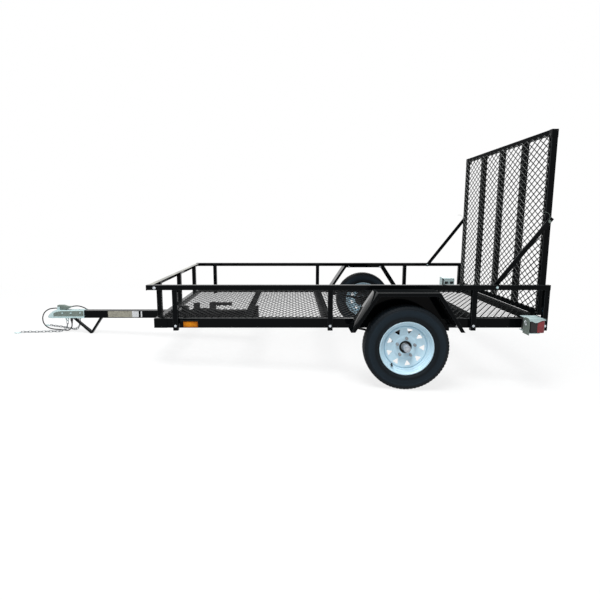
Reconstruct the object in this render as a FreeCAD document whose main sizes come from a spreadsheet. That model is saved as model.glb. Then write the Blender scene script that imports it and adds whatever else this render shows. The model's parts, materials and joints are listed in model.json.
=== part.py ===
"""Single-axle open utility trailer with a mesh deck, guard rails and a ramp gate.

The trailer is drawn level: x runs from the coupler (-x) to the gate (+x) with zero at the
front of the bed frame, y is across (-y is the left side) and z is up from the ground.
Every piece then hangs on one placement, Park, which turns the level trailer nose down about
the axle until it rests on its two tyres and its parking foot, and moves the origin to the
middle of its footprint. Lengths are millimetres, angles are degrees.
"""
import FreeCAD, Part
import math
import os
import re
import Sketcher
from FreeCAD import Vector

DOC = FreeCAD.newDocument("UtilityTrailer")

# ---------------------------------------------------------------- driving dimensions
# name, value, what it is
SIZES = (
    ("frame_length", 2517, "bed frame, front face to rear face"),
    ("frame_width", 1590, "bed frame over the side rails' webs"),
    ("rail_height", 62, "web of the frame angles"),
    ("rail_flange", 50, "flange of the frame angles"),
    ("rail_wall", 4, "wall of the frame angles"),
    ("deck_height", 412, "top of the deck mesh, trailer level"),
    ("deck_sheet", 2, "mesh thickness, deck and gate"),
    ("deck_inset", 28, "deck mesh's edges inside the frame's outer faces"),
    ("guard_height", 630, "top of the guard rails"),
    ("guard_leg", 32, "legs of the guard rail angles"),
    ("guard_wall", 3, "wall of the guard rail angles"),
    ("post_size", 32, "square tube of the posts"),
    ("post_wall", 2.5, "wall of the post tube"),
    ("post_drop", 12, "post end below the side rail"),
    ("post_first", 143, "first side post behind the frame's front"),
    ("post_spread", 590, "outer front posts from the trailer's middle"),
    ("tongue_size", 60, "square tube of the tongue"),
    ("tongue_wall", 4, "wall of the tongue tube"),
    ("tongue_top", 319, "top of the tongue, trailer level"),
    ("tongue_reach", 965, "tongue tube ahead of the frame"),
    ("saddle_wall", 6, "cheeks of the tongue saddles"),
    ("saddle_drop", 45, "saddle cheeks below the tongue's top"),
    ("coupler_rear", 783, "coupler's rear end ahead of the frame"),
    ("ball_ahead", 1036, "coupler ball centre ahead of the frame"),
    ("ball_bore", 25.7, "radius of the socket for a 50.8 ball"),
    ("ball_depth", 44, "depth of the ball socket"),
    ("nose_radius", 36, "coupler nose in plan"),
    ("coupler_wall", 3, "coupler sheet"),
    ("latch_ahead", 990, "latch pin ahead of the frame"),
    ("latch_rise", 16, "latch pin above the coupler's top"),
    ("latch_length", 98, "latch lever behind its pin"),
    ("latch_nose", 12, "latch lever ahead of its pin"),
    ("latch_crown", 22, "latch lever's back above its pin"),
    ("latch_width", 30, "latch lever across"),
    ("latch_pin", 5, "radius of the latch pin"),
    ("latch_gap", 1, "latch lever clear of the ears and the coupler"),
    ("ear_wall", 6, "latch ear plates"),
    ("ear_reach", 11, "latch ears round their pin, along the trailer"),
    ("ear_crown", 10, "latch ears above their pin"),
    ("foot_ahead", 743, "parking foot's toe ahead of the frame"),
    ("foot_width", 32, "parking foot across"),
    ("foot_fore", 148, "foot's front arm meets the tongue, ahead of the toe"),
    ("foot_aft", 98, "foot's rear arm meets the tongue, behind the toe"),
    ("foot_thin", 18, "foot's front arm along the tongue"),
    ("foot_thick", 22, "foot's rear arm along the tongue"),
    ("foot_toe", 16, "flat of the foot's toe"),
    ("lug_ahead", 925, "left chain lug ahead of the frame"),
    ("far_lug_ahead", 852, "right chain lug ahead of the frame"),
    ("lug_drop", 25, "chain lugs below the tongue"),
    ("lug_length", 26, "chain lugs along the trailer"),
    ("lug_thick", 8, "chain lug plates"),
    ("boot_ahead", 722, "cable boot's mouth ahead of the frame"),
    ("boot_out", 12, "cable boot's mouth outboard of the tongue"),
    ("boot_radius", 9, "cable boot's mouth, halved"),
    ("boot_rise", 33, "cable boot above the tongue's underside"),
    ("plug_ahead", 905, "cable plug ahead of the frame"),
    ("plug_side", 12, "cable plug right of the trailer's middle"),
    ("plug_height", 45, "cable plug below the tongue"),
    ("plug_width", 24, "cable plug across"),
    ("plug_depth", 12, "cable plug along the trailer"),
    ("chain_size", 18, "safety chains over their links"),
    ("hook_length", 50, "ring at each safety chain's end, in line with it"),
    ("hook_width", 24, "ring at each safety chain's end, across"),
    ("hook_wall", 8, "ring's bar, across and upright"),
    ("cable_size", 9, "wiring cable's diameter"),
    ("tyre_radius", 262, "outside of the tyre"),
    ("tyre_width", 122, "tyre over its sidewalls"),
    ("rim_flange", 168, "radius of the rim flanges"),
    ("rim_seat", 153, "radius of the bead seat"),
    ("rim_wall", 3, "rim sheet"),
    ("rim_half_width", 49, "rim over its flanges, halved"),
    ("disc_offset", 12, "wheel disc outboard of the wheel's middle"),
    ("disc_wall", 5, "wheel disc sheet"),
    ("window_inner", 86, "radius of the disc windows' points"),
    ("window_outer", 116, "radius of the disc windows' outer edges"),
    ("window_half", 17, "disc windows' outer edge, halved"),
    ("hub_radius", 38, "wheel hub"),
    ("hub_reach", 26, "hub outboard of the wheel's middle"),
    ("hub_inboard", 60, "hub inboard of the wheel's middle"),
    ("hub_waist", 30, "radius of the hub behind its flange"),
    ("hub_flange", 72, "radius of the hub's flange behind the disc"),
    ("flange_wall", 10, "hub's flange"),
    ("cap_radius", 23.5, "hub grease cap"),
    ("cap_reach", 58, "grease cap outboard of the wheel's middle"),
    ("spindle_radius", 16, "axle spindle"),
    ("spindle_reach", 24, "spindle outboard of the wheel's middle"),
    ("spindle_room", 6, "hub bore beyond the spindle's end"),
    ("axle_room", 8, "axle tube's end inboard of the hub"),
    ("running_gap", 0.4, "gap round a turning pin or spindle"),
    ("axle_x", 1586, "axle behind the frame's front"),
    ("track", 1886, "middle of one tyre to the other"),
    ("axle_radius", 25, "axle tube"),
    ("spring_chord", 600, "leaf spring, eye to eye"),
    ("spring_sag", 38, "bow of the spring between its eyes"),
    ("spring_leaf", 6, "one spring leaf"),
    ("spring_width", 45, "spring across"),
    ("spring_inset", 34, "spring's middle inside the web's outer face"),
    ("eye_radius", 13, "spring eyes"),
    ("eye_drop", 6, "spring eyes below the top leaf's ends"),
    ("hanger_wall", 4, "spring hanger sheet"),
    ("hanger_gap", 1, "spring hangers clear of the spring"),
    ("hanger_length", 36, "spring hangers along the trailer"),
    ("hanger_below", 16, "spring hangers below the eyes' middles"),
    ("clamp_length", 84, "spring clamp plates along the trailer"),
    ("clamp_width", 72, "spring clamp plates across"),
    ("clamp_plate", 8, "spring clamp plates"),
    ("clamp_bolt", 5, "radius of the U-bolts"),
    ("clamp_edge", 7.5, "U-bolts inside the clamp plates' edges"),
    ("clamp_thread", 9, "U-bolts beyond the clamp plates"),
    ("seat_length", 48, "axle seat along the trailer"),
    ("seat_width", 40, "axle seat across"),
    ("seat_depth", 12, "axle seat's cheeks down the axle"),
    ("fender_top", 374, "fender's flat top"),
    ("fender_base", 689, "fender from toe to toe"),
    ("fender_drop", 241, "fender's top above its toes"),
    ("fender_height", 606, "fender's top above the ground"),
    ("fender_width", 176, "fender across"),
    ("fender_gap", 5, "fender outboard of the guard rail"),
    ("fender_lip", 22, "fender's turned-down edges"),
    ("fender_wall", 2.5, "fender sheet"),
    ("stay_inset", 26, "fender stays inside the fender's toes"),
    ("stay_width", 36, "fender stays along the trailer"),
    ("stay_wall", 5, "fender stays"),
    ("gate_margin", 45, "gate's sides inside the bed frame's"),
    ("gate_height", 1165, "ramp gate, bottom to top"),
    ("gate_foot", 10, "gate's bottom above the deck"),
    ("gate_leg", 38, "legs of the gate angles"),
    ("gate_wall", 3, "wall of the gate angles"),
    ("gate_inset", 16, "gate mesh's edges inside the gate's outer edges"),
    ("hinge_out", 20, "hinge pin behind the bed frame"),
    ("hinge_back", 12, "hinge pin behind the gate's rear face"),
    ("hinge_rise", 12, "hinge pin above the gate's bottom"),
    ("hinge_pin", 6, "radius of the gate hinge pins"),
    ("knuckle_radius", 10.5, "gate hinge knuckles and lugs"),
    ("knuckle_length", 50, "gate hinge knuckle"),
    ("knuckle_tab", 8, "gate hinge knuckle's tab"),
    ("tab_length", 20, "knuckle's tab along the gate's bottom bar"),
    ("lug_wall", 6, "gate hinge lug plates"),
    ("lug_gap", 2, "gate hinge lugs clear of the knuckle"),
    ("lug_foot", 20, "gate hinge lugs above the frame's underside"),
    ("lug_neck", 8, "gate hinge lugs' shoulder below the gate"),
    ("hinge_inset", 160, "gate hinges' middles inside the gate's sides"),
    ("strut_ahead", 337, "strut bolt ahead of the frame's rear"),
    ("strut_below", 16, "strut bolt below the guard rail's top"),
    ("strut_length", 525, "strut, bolt to gate pin"),
    ("strut_over", 22, "strut beyond its gate pin"),
    ("strut_rise", 52.6, "slope of the strut, degrees"),
    ("strut_width", 30, "strut bar, wide way"),
    ("strut_wall", 5, "strut bar, thin way"),
    ("strut_gap", 33, "strut outboard of the gate's side"),
    ("strut_pin", 5, "radius of the strut's bolt and gate pin"),
    ("strut_clear", 3, "strut's gate pin short of the gate"),
    ("bolt_over", 4, "strut bolt inboard of its strut"),
    ("marker_x", 188, "side marker lens behind the frame's front"),
    ("marker_length", 95, "side marker lens"),
    ("marker_height", 43, "side marker lens"),
    ("marker_depth", 20, "side marker lens, outward"),
    ("hood_wall", 2, "side marker hood sheet"),
    ("hood_ahead", 16, "side marker hood ahead of its lens"),
    ("hood_behind", 6, "side marker hood behind its lens"),
    ("hood_below", 3, "side marker hood below its lens"),
    ("hood_above", 3, "gap between the lens and its hood's roof"),
    ("hood_over", 3, "side marker hood outboard of its lens"),
    ("marker_rise", 4, "side marker lens above the frame's underside"),
    ("lamp_ahead", 114, "tail lamp's front ahead of the frame's rear"),
    ("lamp_depth", 44, "tail lamp, front to back"),
    ("lamp_width", 130, "tail lamp across"),
    ("lamp_height", 78, "tail lamp, upright"),
    ("lamp_floor", 343, "left tail lamp's underside above the ground"),
    ("lamp_lift", 50, "right tail lamp above the left one"),
    ("lamp_wall", 3, "tail lamp bracket sheet"),
    ("lamp_room", 6, "tail lamp bracket's roof above the lamp"),
    ("lamp_fore", 53, "tail lamp bracket ahead of the lamp"),
    ("lamp_aft", 4, "tail lamp bracket behind the lamp"),
    ("lamp_side", 3, "tail lamp bracket past each side of the lamp"),
    ("park_tilt", 3.15, "nose-down angle when parked, degrees"),
    ("origin_x", 734, "footprint's middle behind the frame's front"),
)

SHEET = DOC.addObject("Spreadsheet::Sheet", "Sizes")
for row, (alias, value, meaning) in enumerate(SIZES, start=1):
    SHEET.set(f"A{row}", meaning)
    SHEET.set(f"B{row}", str(value))
    SHEET.setAlias(f"B{row}", alias)
DOC.recompute()

NAMES = re.compile(r"\b(" + "|".join(alias for alias, _, _ in SIZES) + r")\b")
LEFT, RIGHT = -1, 1
SIDES = (("left", LEFT), ("right", RIGHT))

# places that several pieces share, in the level trailer
RAIL_TOP = "(deck_height - deck_sheet)"
RAIL_BOTTOM = f"({RAIL_TOP} - rail_height)"
HALF_FRAME = "(frame_width / 2)"
GUARD_FACE = f"({HALF_FRAME} + post_size + guard_wall)"
GUARD_UNDER = "(guard_height - guard_wall)"
GUARD_AHEAD = "(post_size + guard_wall)"
TONGUE_BOTTOM = "(tongue_top - tongue_size)"
COUPLER_TOP = "(tongue_top + running_gap + coupler_wall)"
GATE_WIDTH = "(frame_width - 2 * gate_margin)"
HINGE_Y = f"({GATE_WIDTH} / 2 - hinge_inset)"
GATE_BOTTOM = "(deck_height + gate_foot)"
HINGE_X = "(frame_length + hinge_out)"
GATE_REAR = f"({HINGE_X} - hinge_back)"
GATE_FRONT = f"({GATE_REAR} - gate_leg)"
HINGE_Z = f"({GATE_BOTTOM} + hinge_rise)"
HALF_TRACK = "(track / 2)"
SPRING_Y = f"({HALF_FRAME} - spring_inset)"
SPRING_Z = "(tyre_radius + axle_radius + spring_leaf)"
SPRING_TOP = f"({SPRING_Z} + 3 * spring_leaf)"
SPRING_BOW = "((pow(spring_chord; 2) / 4 + pow(spring_sag; 2)) / (2 * spring_sag))"
EYE_Z = f"({SPRING_TOP} + spring_sag - eye_drop)"
STRUT_X = "(frame_length - strut_ahead)"
LAMP_X = "(frame_length - lamp_ahead)"


def bound(text):
    """The expression with every named size read from the sheet."""
    return NAMES.sub(r"Sizes.\1", str(text))


# ---------------------------------------------------------------- the parked pose
PARK = DOC.addObject("Part::Feature", "Park")
PARK.setExpression(
    "Placement",
    bound(
        "placement(vector(axle_x - origin_x; 0; tyre_radius); rotation(vector(0; 1; 0); -park_tilt))"
        " * placement(vector(-axle_x; 0; -tyre_radius); rotation(vector(0; 1; 0); 0))"
    ),
)


def place(thing, x=0, y=0, z=0, axis=(0, 1, 0), turn=0, spin=0):
    """Sets a piece at a point of the level trailer and carries it into the parked pose.

    turn is about the given axis; spin, about the piece's own z axis, comes before it.
    """
    direction = "; ".join(str(part) for part in axis)
    at = f"placement(vector({x}; {y}; {z}); rotation(vector({direction}); {turn}))"
    spun = f"placement(vector(0; 0; 0); rotation(vector(0; 0; 1); {spin}))"
    thing.setExpression("Placement", bound(f"Park.Placement * {at} * {spun}"))
    return thing


# ---------------------------------------------------------------- ways of making a piece
def body(label):
    """An empty PartDesign body."""
    made = DOC.addObject("PartDesign::Body", label)
    made.Label = label
    return made


def origin_part(owner, role):
    """One of the body's own origin planes or axes."""
    return next(part for part in owner.Origin.OriginFeatures if part.Role == role)


def sketch_on(owner, role):
    sketch = owner.newObject("Sketcher::SketchObject", owner.Name + "Sketch")
    sketch.AttachmentSupport = [(origin_part(owner, role), "")]
    sketch.MapMode = "FlatFace"
    return sketch


def pin_point(sketch, geometry, end, u, v):
    """Holds a point of the sketch at (u, v) from the sketch's origin."""
    for kind, distance in (("DistanceX", u), ("DistanceY", v)):
        held = sketch.addConstraint(Sketcher.Constraint(kind, -1, 1, geometry, end, 1.0))
        sketch.setExpression(f"Constraints[{held}]", bound(distance))


def add_outline(sketch, points):
    """A closed outline of straight lines through the points."""
    first = sketch.GeometryCount
    count = len(points)
    turn = 2 * math.pi / count
    start = [Vector(math.cos(turn * i), math.sin(turn * i), 0) for i in range(count)]
    for i in range(count):
        sketch.addGeometry(Part.LineSegment(start[i], start[(i + 1) % count]), False)
    for i in range(count):
        after = first + (i + 1) % count
        sketch.addConstraint(Sketcher.Constraint("Coincident", first + i, 2, after, 1))
    for i, (u, v) in enumerate(points):
        pin_point(sketch, first + i, 1, u, v)


def add_circle(sketch, u, v, radius):
    circle = sketch.addGeometry(Part.Circle(Vector(0, 0, 0), Vector(0, 0, 1), 1), False)
    pin_point(sketch, circle, 3, u, v)
    size = sketch.addConstraint(Sketcher.Constraint("Radius", circle, 1.0))
    sketch.setExpression(f"Constraints[{size}]", bound(radius))


def rectangle(u0, v0, u1, v1):
    return ((u0, v0), (u1, v0), (u1, v1), (u0, v1))


def pad(owner, role, outlines, length, middle=True, backward=False):
    """Pads outlines from an origin plane, both ways from it unless middle is False."""
    sketch = sketch_on(owner, role)
    for outline in outlines:
        if isinstance(outline[0], tuple):
            add_outline(sketch, outline)
        else:
            add_circle(sketch, *outline)
    made = owner.newObject("PartDesign::Pad", owner.Name + "Pad")
    made.Profile = sketch
    made.setExpression("Length", bound(length))
    made.Midplane = middle
    made.Reversed = backward
    owner.Tip = made
    return made


def pocket(owner, role, outline):
    """Cuts an outline right through the body, both ways from an origin plane."""
    sketch = sketch_on(owner, role)
    if isinstance(outline[0], tuple):
        add_outline(sketch, outline)
    else:
        add_circle(sketch, *outline)
    made = owner.newObject("PartDesign::Pocket", owner.Name + "Pocket")
    made.Profile = sketch
    made.Type = "ThroughAll"
    made.Midplane = True
    owner.Tip = made
    return made


def polar(owner, feature, role, count):
    pattern = owner.newObject("PartDesign::PolarPattern", owner.Name + "Pattern")
    pattern.Originals = [feature]
    pattern.Axis = (origin_part(owner, role), [""])
    pattern.Angle = 360
    pattern.Occurrences = count
    owner.Tip = pattern
    return pattern


def revolve(owner, outline):
    """Turns an outline, given as (radius, distance along y), round the body's y axis."""
    sketch = sketch_on(owner, "XY_Plane")
    add_outline(sketch, outline)
    made = owner.newObject("PartDesign::Revolution", owner.Name + "Turn")
    made.Profile = sketch
    made.ReferenceAxis = (sketch, ["V_Axis"])
    made.Angle = 360
    owner.Tip = made
    return made


def box(label, x0, x1, y0, y1, z0, z1):
    """A block between two corners of the level trailer."""
    made = DOC.addObject("Part::Box", label)
    made.setExpression("Length", bound(f"({x1}) - ({x0})"))
    made.setExpression("Width", bound(f"({y1}) - ({y0})"))
    made.setExpression("Height", bound(f"({z1}) - ({z0})"))
    return place(made, x0, y0, z0)


def cylinder(label, radius, length, x, y, z, axis=(1, 0, 0), turn=-90):
    """A cylinder from a point, along +y unless axis and turn say otherwise."""
    made = DOC.addObject("Part::Cylinder", label)
    made.setExpression("Radius", bound(radius))
    made.setExpression("Height", bound(length))
    return place(made, x, y, z, axis, turn)


def fused(label, pieces):
    made = DOC.addObject("Part::MultiFuse", label)
    made.Label = label
    made.Shapes = pieces
    return made


def grouped(label, pieces):
    """Like pieces that don't touch, kept as one sub-part."""
    made = DOC.addObject("Part::Compound", label)
    made.Label = label
    made.Links = pieces
    return made


NODES = {}


def node(label, made):
    """Enters a finished sub-part under the name of its file."""
    made.Label = label
    NODES[label] = made
    return made


# ---------------------------------------------------------------- bed frame
def side_rail(side):
    """Angle: web outside, flange inward at the top."""
    outer, inner = f"{side} * {HALF_FRAME}", f"{side} * ({HALF_FRAME} - rail_wall)"
    edge = f"{side} * ({HALF_FRAME} - rail_flange)"
    under = f"{RAIL_TOP} - rail_wall"
    made = body("SideRail")
    angle = (
        (outer, RAIL_BOTTOM), (outer, RAIL_TOP), (edge, RAIL_TOP),
        (edge, under), (inner, under), (inner, RAIL_BOTTOM),
    )
    pad(made, "YZ_Plane", [angle], "frame_length", middle=False)
    return place(made)


def frame_member(x, facing):
    """Angle across the bed, coped under the side rails' flanges.

    x is its web's outer face; facing is 1 with the flange behind the web, -1 ahead of it.
    """
    made = body("Member")
    under = f"{RAIL_TOP} - rail_wall"
    web = rectangle("0", RAIL_BOTTOM, f"{facing} * rail_wall", under)
    flange = rectangle("0", under, f"{facing} * rail_flange", RAIL_TOP)
    pad(made, "XZ_Plane", [web], "frame_width - 2 * rail_wall")
    pad(made, "XZ_Plane", [flange], "frame_width - 2 * rail_flange")
    return place(made, x)


for name, side in SIDES:
    node(f"{name}_side_rail", side_rail(side))
node("front_frame_member", frame_member("0", 1))
node("rear_frame_member", frame_member("frame_length", -1))
MEMBER_SHARES = (0.2245, 0.4342, 0.6158, 0.8145)
MEMBER_X = tuple(f"(frame_length * {share})" for share in MEMBER_SHARES)
node("deck_cross_members", grouped("CrossMembers", [frame_member(x, 1) for x in MEMBER_X]))
HALF_DECK = f"({HALF_FRAME} - deck_inset)"
node(
    "deck_mesh",
    box("DeckMesh", "deck_inset", "frame_length - deck_inset", f"-{HALF_DECK}", HALF_DECK,
        RAIL_TOP, "deck_height"),
)


# ---------------------------------------------------------------- guard rails and posts
def guard_side(side):
    """Angle along one side: leg outside, flange inward at the top."""
    outer, inner = f"{side} * {GUARD_FACE}", f"{side} * ({GUARD_FACE} - guard_wall)"
    edge = f"{side} * ({GUARD_FACE} - guard_leg)"
    bottom = "guard_height - guard_leg"
    made = body("GuardSide")
    angle = (
        (outer, bottom), (outer, "guard_height"), (edge, "guard_height"),
        (edge, GUARD_UNDER), (inner, GUARD_UNDER), (inner, bottom),
    )
    pad(made, "YZ_Plane", [angle], f"frame_length + {GUARD_AHEAD}", middle=False)
    return place(made, f"-{GUARD_AHEAD}")


def guard_front():
    """Angle across the front, its flange under the side rails' flanges."""
    made = body("GuardFront")
    bottom, under = f"{GUARD_UNDER} - guard_leg", f"{GUARD_UNDER} - guard_wall"
    angle = (
        ("0", bottom), ("0", GUARD_UNDER), ("guard_leg", GUARD_UNDER),
        ("guard_leg", under), ("guard_wall", under), ("guard_wall", bottom),
    )
    pad(made, "XZ_Plane", [angle], f"2 * ({GUARD_FACE} - guard_wall)")
    return place(made, f"-{GUARD_AHEAD}")


def post(x, y, bottom, top):
    """Upright square tube round the point (x, y)."""
    made = body("Post")
    bore = "(post_size / 2 - post_wall)"
    half = "(post_size / 2)"
    outside = rectangle(f"-{half}", f"-{half}", half, half)
    inside = rectangle(f"-{bore}", f"-{bore}", bore, bore)
    pad(made, "XY_Plane", [outside, inside], f"({top}) - ({bottom})", middle=False)
    return place(made, x, y, bottom)


POST_Y = f"({HALF_FRAME} + post_size / 2)"
LAST_POST = "(frame_length - post_size / 2)"
POST_X = {
    "left": ("post_first", "frame_length * 0.449", "frame_length * 0.8125", LAST_POST),
    "right": ("post_first", "frame_length * 0.449", "frame_length * 0.7823", LAST_POST),
}
posts = [
    post("-post_size / 2", y, RAIL_BOTTOM, f"{GUARD_UNDER} - guard_wall")
    for y in ("-post_spread", "0", "post_spread")
]
for name, side in SIDES:
    node(f"{name}_guard_rail", guard_side(side))
    for x in POST_X[name]:
        posts.append(post(x, f"{side} * {POST_Y}", f"{RAIL_BOTTOM} - post_drop", GUARD_UNDER))
node("front_guard_rail", guard_front())
node("guard_posts", grouped("Posts", posts))


# ---------------------------------------------------------------- tongue, coupler and foot
def tongue():
    made = body("Tongue")
    half, bore = "(tongue_size / 2)", "(tongue_size / 2 - tongue_wall)"
    outside = rectangle(f"-{half}", TONGUE_BOTTOM, half, "tongue_top")
    inside = rectangle(
        f"-{bore}", f"{TONGUE_BOTTOM} + tongue_wall", bore, "tongue_top - tongue_wall"
    )
    pad(made, "YZ_Plane", [outside, inside], f"tongue_reach + {MEMBER_X[0]} + rail_flange", middle=False)
    return place(made, "-tongue_reach")


def saddle(x):
    """Block that fills the space under a frame member, with a cheek on each side of the tongue."""
    made = body("Saddle")
    half = "(tongue_size / 2)"
    outer = "(tongue_size / 2 + saddle_wall)"
    low = "tongue_top - saddle_drop"
    arch = (
        (f"-{outer}", low), (f"-{outer}", RAIL_BOTTOM), (outer, RAIL_BOTTOM), (outer, low),
        (half, low), (half, "tongue_top"), (f"-{half}", "tongue_top"), (f"-{half}", low),
    )
    pad(made, "YZ_Plane", [arch], "rail_flange", middle=False)
    return place(made, x)


def coupler():
    """Channel over the tongue's end, closing to a round nose with the ball socket below."""
    made = body("Coupler")
    half = "(tongue_size / 2 + running_gap + coupler_wall)"
    inside = "(tongue_size / 2 + running_gap)"
    ball = "-ball_ahead"
    depth = f"{COUPLER_TOP} - {TONGUE_BOTTOM}"
    sides = rectangle(f"{ball}", f"-{half}", "-coupler_rear", half)
    pad(made, "XY_Plane", [sides], depth, middle=False)
    pad(made, "XY_Plane", [(ball, "0", "nose_radius")], depth, middle=False)
    hollow = rectangle("-tongue_reach - running_gap", f"-{inside}", "-coupler_rear", inside)
    sketch = sketch_on(made, "XY_Plane")
    add_outline(sketch, hollow)
    channel = made.newObject("PartDesign::Pocket", "CouplerChannel")
    channel.Profile = sketch
    channel.Reversed = True
    channel.setExpression("Length", bound("tongue_size + running_gap"))
    sketch = sketch_on(made, "XY_Plane")
    add_circle(sketch, ball, "0", "ball_bore")
    socket = made.newObject("PartDesign::Pocket", "BallSocket")
    socket.Profile = sketch
    socket.Reversed = True
    socket.setExpression("Length", bound("ball_depth"))
    made.Tip = socket
    place(made, z=TONGUE_BOTTOM)
    return fused("CouplerWithEars", [made, *latch_ears()])


def latch_ears():
    """Two ears on the coupler and the latch pin between them."""
    near, far = "(latch_width / 2 + latch_gap)", "(latch_width / 2 + latch_gap + ear_wall)"
    low, high = COUPLER_TOP, f"{COUPLER_TOP} + latch_rise + ear_crown"
    fore, aft = "-latch_ahead - ear_reach", "-latch_ahead + ear_reach"
    pin_end = f"({far} + latch_gap)"
    return [
        box("LatchEar", fore, aft, near, far, low, high),
        box("LatchEar", fore, aft, f"-{far}", f"-{near}", low, high),
        cylinder("LatchPin", "latch_pin", f"2 * {pin_end}", "-latch_ahead", f"-{pin_end}",
                 f"{COUPLER_TOP} + latch_rise"),
    ]


def latch_lever():
    """Hook-shaped lever that lies on the coupler and turns about its pin."""
    made = body("LatchLever")
    sole = "(latch_gap - latch_rise)"
    lever = (
        ("-latch_nose", "-latch_nose * 0.7"), ("-latch_nose", "latch_crown * 0.9"),
        ("-latch_nose * 0.6", "latch_crown"), ("latch_length * 0.38", "latch_crown"),
        ("latch_length * 0.72", "latch_crown * 0.5"), ("latch_length", "latch_crown * 0.5"),
        ("latch_length", "latch_crown * 0.2"),
        ("latch_length * 0.67", f"{sole} * 0.8"), ("latch_length * 0.36", sole),
        ("latch_nose", sole), ("0", "-latch_nose"),
    )
    pad(made, "XZ_Plane", [lever], "latch_width")
    pocket(made, "XZ_Plane", ("0", "0", "latch_pin + running_gap"))
    return place(made, "-latch_ahead", "0", f"{COUPLER_TOP} + latch_rise")


def parking_foot():
    """Bent bar under the tongue; its toe's front edge is on the ground when parked."""
    made = body("ParkingFoot")
    reach = "(axle_x + foot_ahead + foot_toe / 2)"
    toe = (
        f"(tyre_radius - (tyre_radius - {reach} * sin(park_tilt)) / cos(park_tilt) - {TONGUE_BOTTOM})"
    )
    bar = (
        ("-foot_toe / 2", toe), ("foot_toe / 2", toe), ("foot_aft", "0"),
        ("foot_aft - foot_thick", "0"), ("0", f"{toe} + foot_thick * 0.8"),
        ("foot_thin - foot_fore", "0"), ("-foot_fore", "0"), ("-foot_toe", f"{toe} + foot_toe / 2"),
    )
    pad(made, "XZ_Plane", [bar], "foot_width")
    return place(made, "-foot_ahead", "0", TONGUE_BOTTOM)


LUG_Y = "(tongue_size / 3)"
FAR_LUG_Y = "(tongue_size / 2 + running_gap + coupler_wall + lug_thick / 2)"
LUG_LOW = f"({TONGUE_BOTTOM} - lug_drop)"


def chain_lug(x, y, high):
    """Upright plate that a safety chain hangs from."""
    return box("ChainLug", f"{x} - lug_length / 2", f"{x} + lug_length / 2",
               f"{y} - lug_thick / 2", f"{y} + lug_thick / 2", LUG_LOW, high)


def cable_boot():
    """Slanted boot on the tongue's right side where the wiring comes out."""
    made = body("CableBoot")
    boot = (
        ("-boot_radius * 1.5", "0"),
        ("-boot_radius * 0.5", "boot_out - boot_radius * sqrt(3) / 2"),
        ("boot_radius * 0.5", "boot_out + boot_radius * sqrt(3) / 2"),
        ("boot_radius * 4.5", "0"),
    )
    pad(made, "XY_Plane", [boot], "2 * boot_radius")
    return place(made, "-boot_ahead", "tongue_size / 2", f"{TONGUE_BOTTOM} + boot_rise")


node("tongue", tongue())
node("tongue_saddles", grouped("Saddles", [saddle("0"), saddle(MEMBER_X[0])]))
node("coupler", coupler())
node("coupler_latch_lever", latch_lever())
node("parking_foot", parking_foot())
lugs = [
    chain_lug("-lug_ahead", f"-{LUG_Y}", TONGUE_BOTTOM),
    chain_lug("-far_lug_ahead", FAR_LUG_Y, f"{TONGUE_BOTTOM} + lug_length"),
]
node("chain_lugs", grouped("ChainLugs", lugs))
node("cable_boot", cable_boot())
node(
    "wiring_plug",
    box("WiringPlug", "-plug_ahead - plug_depth / 2", "-plug_ahead + plug_depth / 2",
        "plug_side - plug_width / 2", "plug_side + plug_width / 2",
        f"{TONGUE_BOTTOM} - plug_height", TONGUE_BOTTOM),
)


# ---------------------------------------------------------------- chains and cable
VALUES = {alias: value for alias, value, _ in SIZES}
LIFT = 0.5  # what lies on the ground is this far above it


def parked(x, y, z):
    """A point of the level trailer in the parked pose."""
    tilt = math.radians(VALUES["park_tilt"])
    axle_x, axle_z = VALUES["axle_x"], VALUES["tyre_radius"]
    ahead, above = x - axle_x, z - axle_z
    return Vector(
        axle_x - VALUES["origin_x"] + ahead * math.cos(tilt) - above * math.sin(tilt),
        y,
        axle_z + ahead * math.sin(tilt) + above * math.cos(tilt),
    )


def route(anchor, lie, steps):
    """Points along a cord: each step is its run from the anchor along x and y, and its height
    as a share of the anchor's height above where the cord lies on the ground."""
    return [Vector(anchor.x + along, anchor.y + across, lie + share * (anchor.z - lie))
            for along, across, share in steps]


def cord(label, size, points):
    """Round cord through the points: straight runs joined by arcs that touch both."""
    edges, radii = [], []
    at = points[0]
    for before, corner, after in zip(points, points[1:], points[2:]):
        come, go = corner - before, after - corner
        turn = come.getAngle(go)
        cut = 0.45 * min(come.Length, go.Length)
        start = corner - come.normalize() * cut
        end = corner + go.normalize() * cut
        radius = cut / math.tan(turn / 2)
        inward = (go - come).normalize()
        middle = corner + inward * (radius / math.cos(turn / 2) - radius)
        edges.append(Part.LineSegment(at, start).toShape())
        edges.append(Part.Arc(start, middle, end).toShape())
        radii.append(round(radius, 1))
        at = end
    edges.append(Part.LineSegment(at, points[-1]).toShape())
    spine = Part.Wire(edges)
    ring = Part.Wire([Part.Circle(points[0], points[1] - points[0], size / 2).toShape()])
    made = DOC.addObject("Part::Feature", label)
    made.Shape = spine.makePipeShell([ring], True, False)
    expected = math.pi * size ** 2 / 4 * spine.Length
    print(f"{label}: length {spine.Length:.1f}, volume {made.Shape.Volume / expected:.4f} of"
          f" section by length, radii {radii}")
    return made


def chain_hook(end, before):
    """Flat oblong ring on the ground at a chain's end, in line with the chain."""
    length, width, wall = VALUES["hook_length"], VALUES["hook_width"], VALUES["hook_wall"]
    ring = Part.makeBox(length, width, wall, Vector(0, -width / 2, 0))
    slot = Part.makeBox(length - 2 * wall, width - 2 * wall, wall, Vector(wall, wall - width / 2, 0))
    heading = math.degrees(math.atan2(end.y - before.y, end.x - before.x))
    made = DOC.addObject("Part::Feature", "ChainHook")
    made.Shape = ring.cut(slot)
    made.Placement = FreeCAD.Placement(
        Vector(end.x, end.y, LIFT), FreeCAD.Rotation(Vector(0, 0, 1), heading)
    )
    return made


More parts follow.
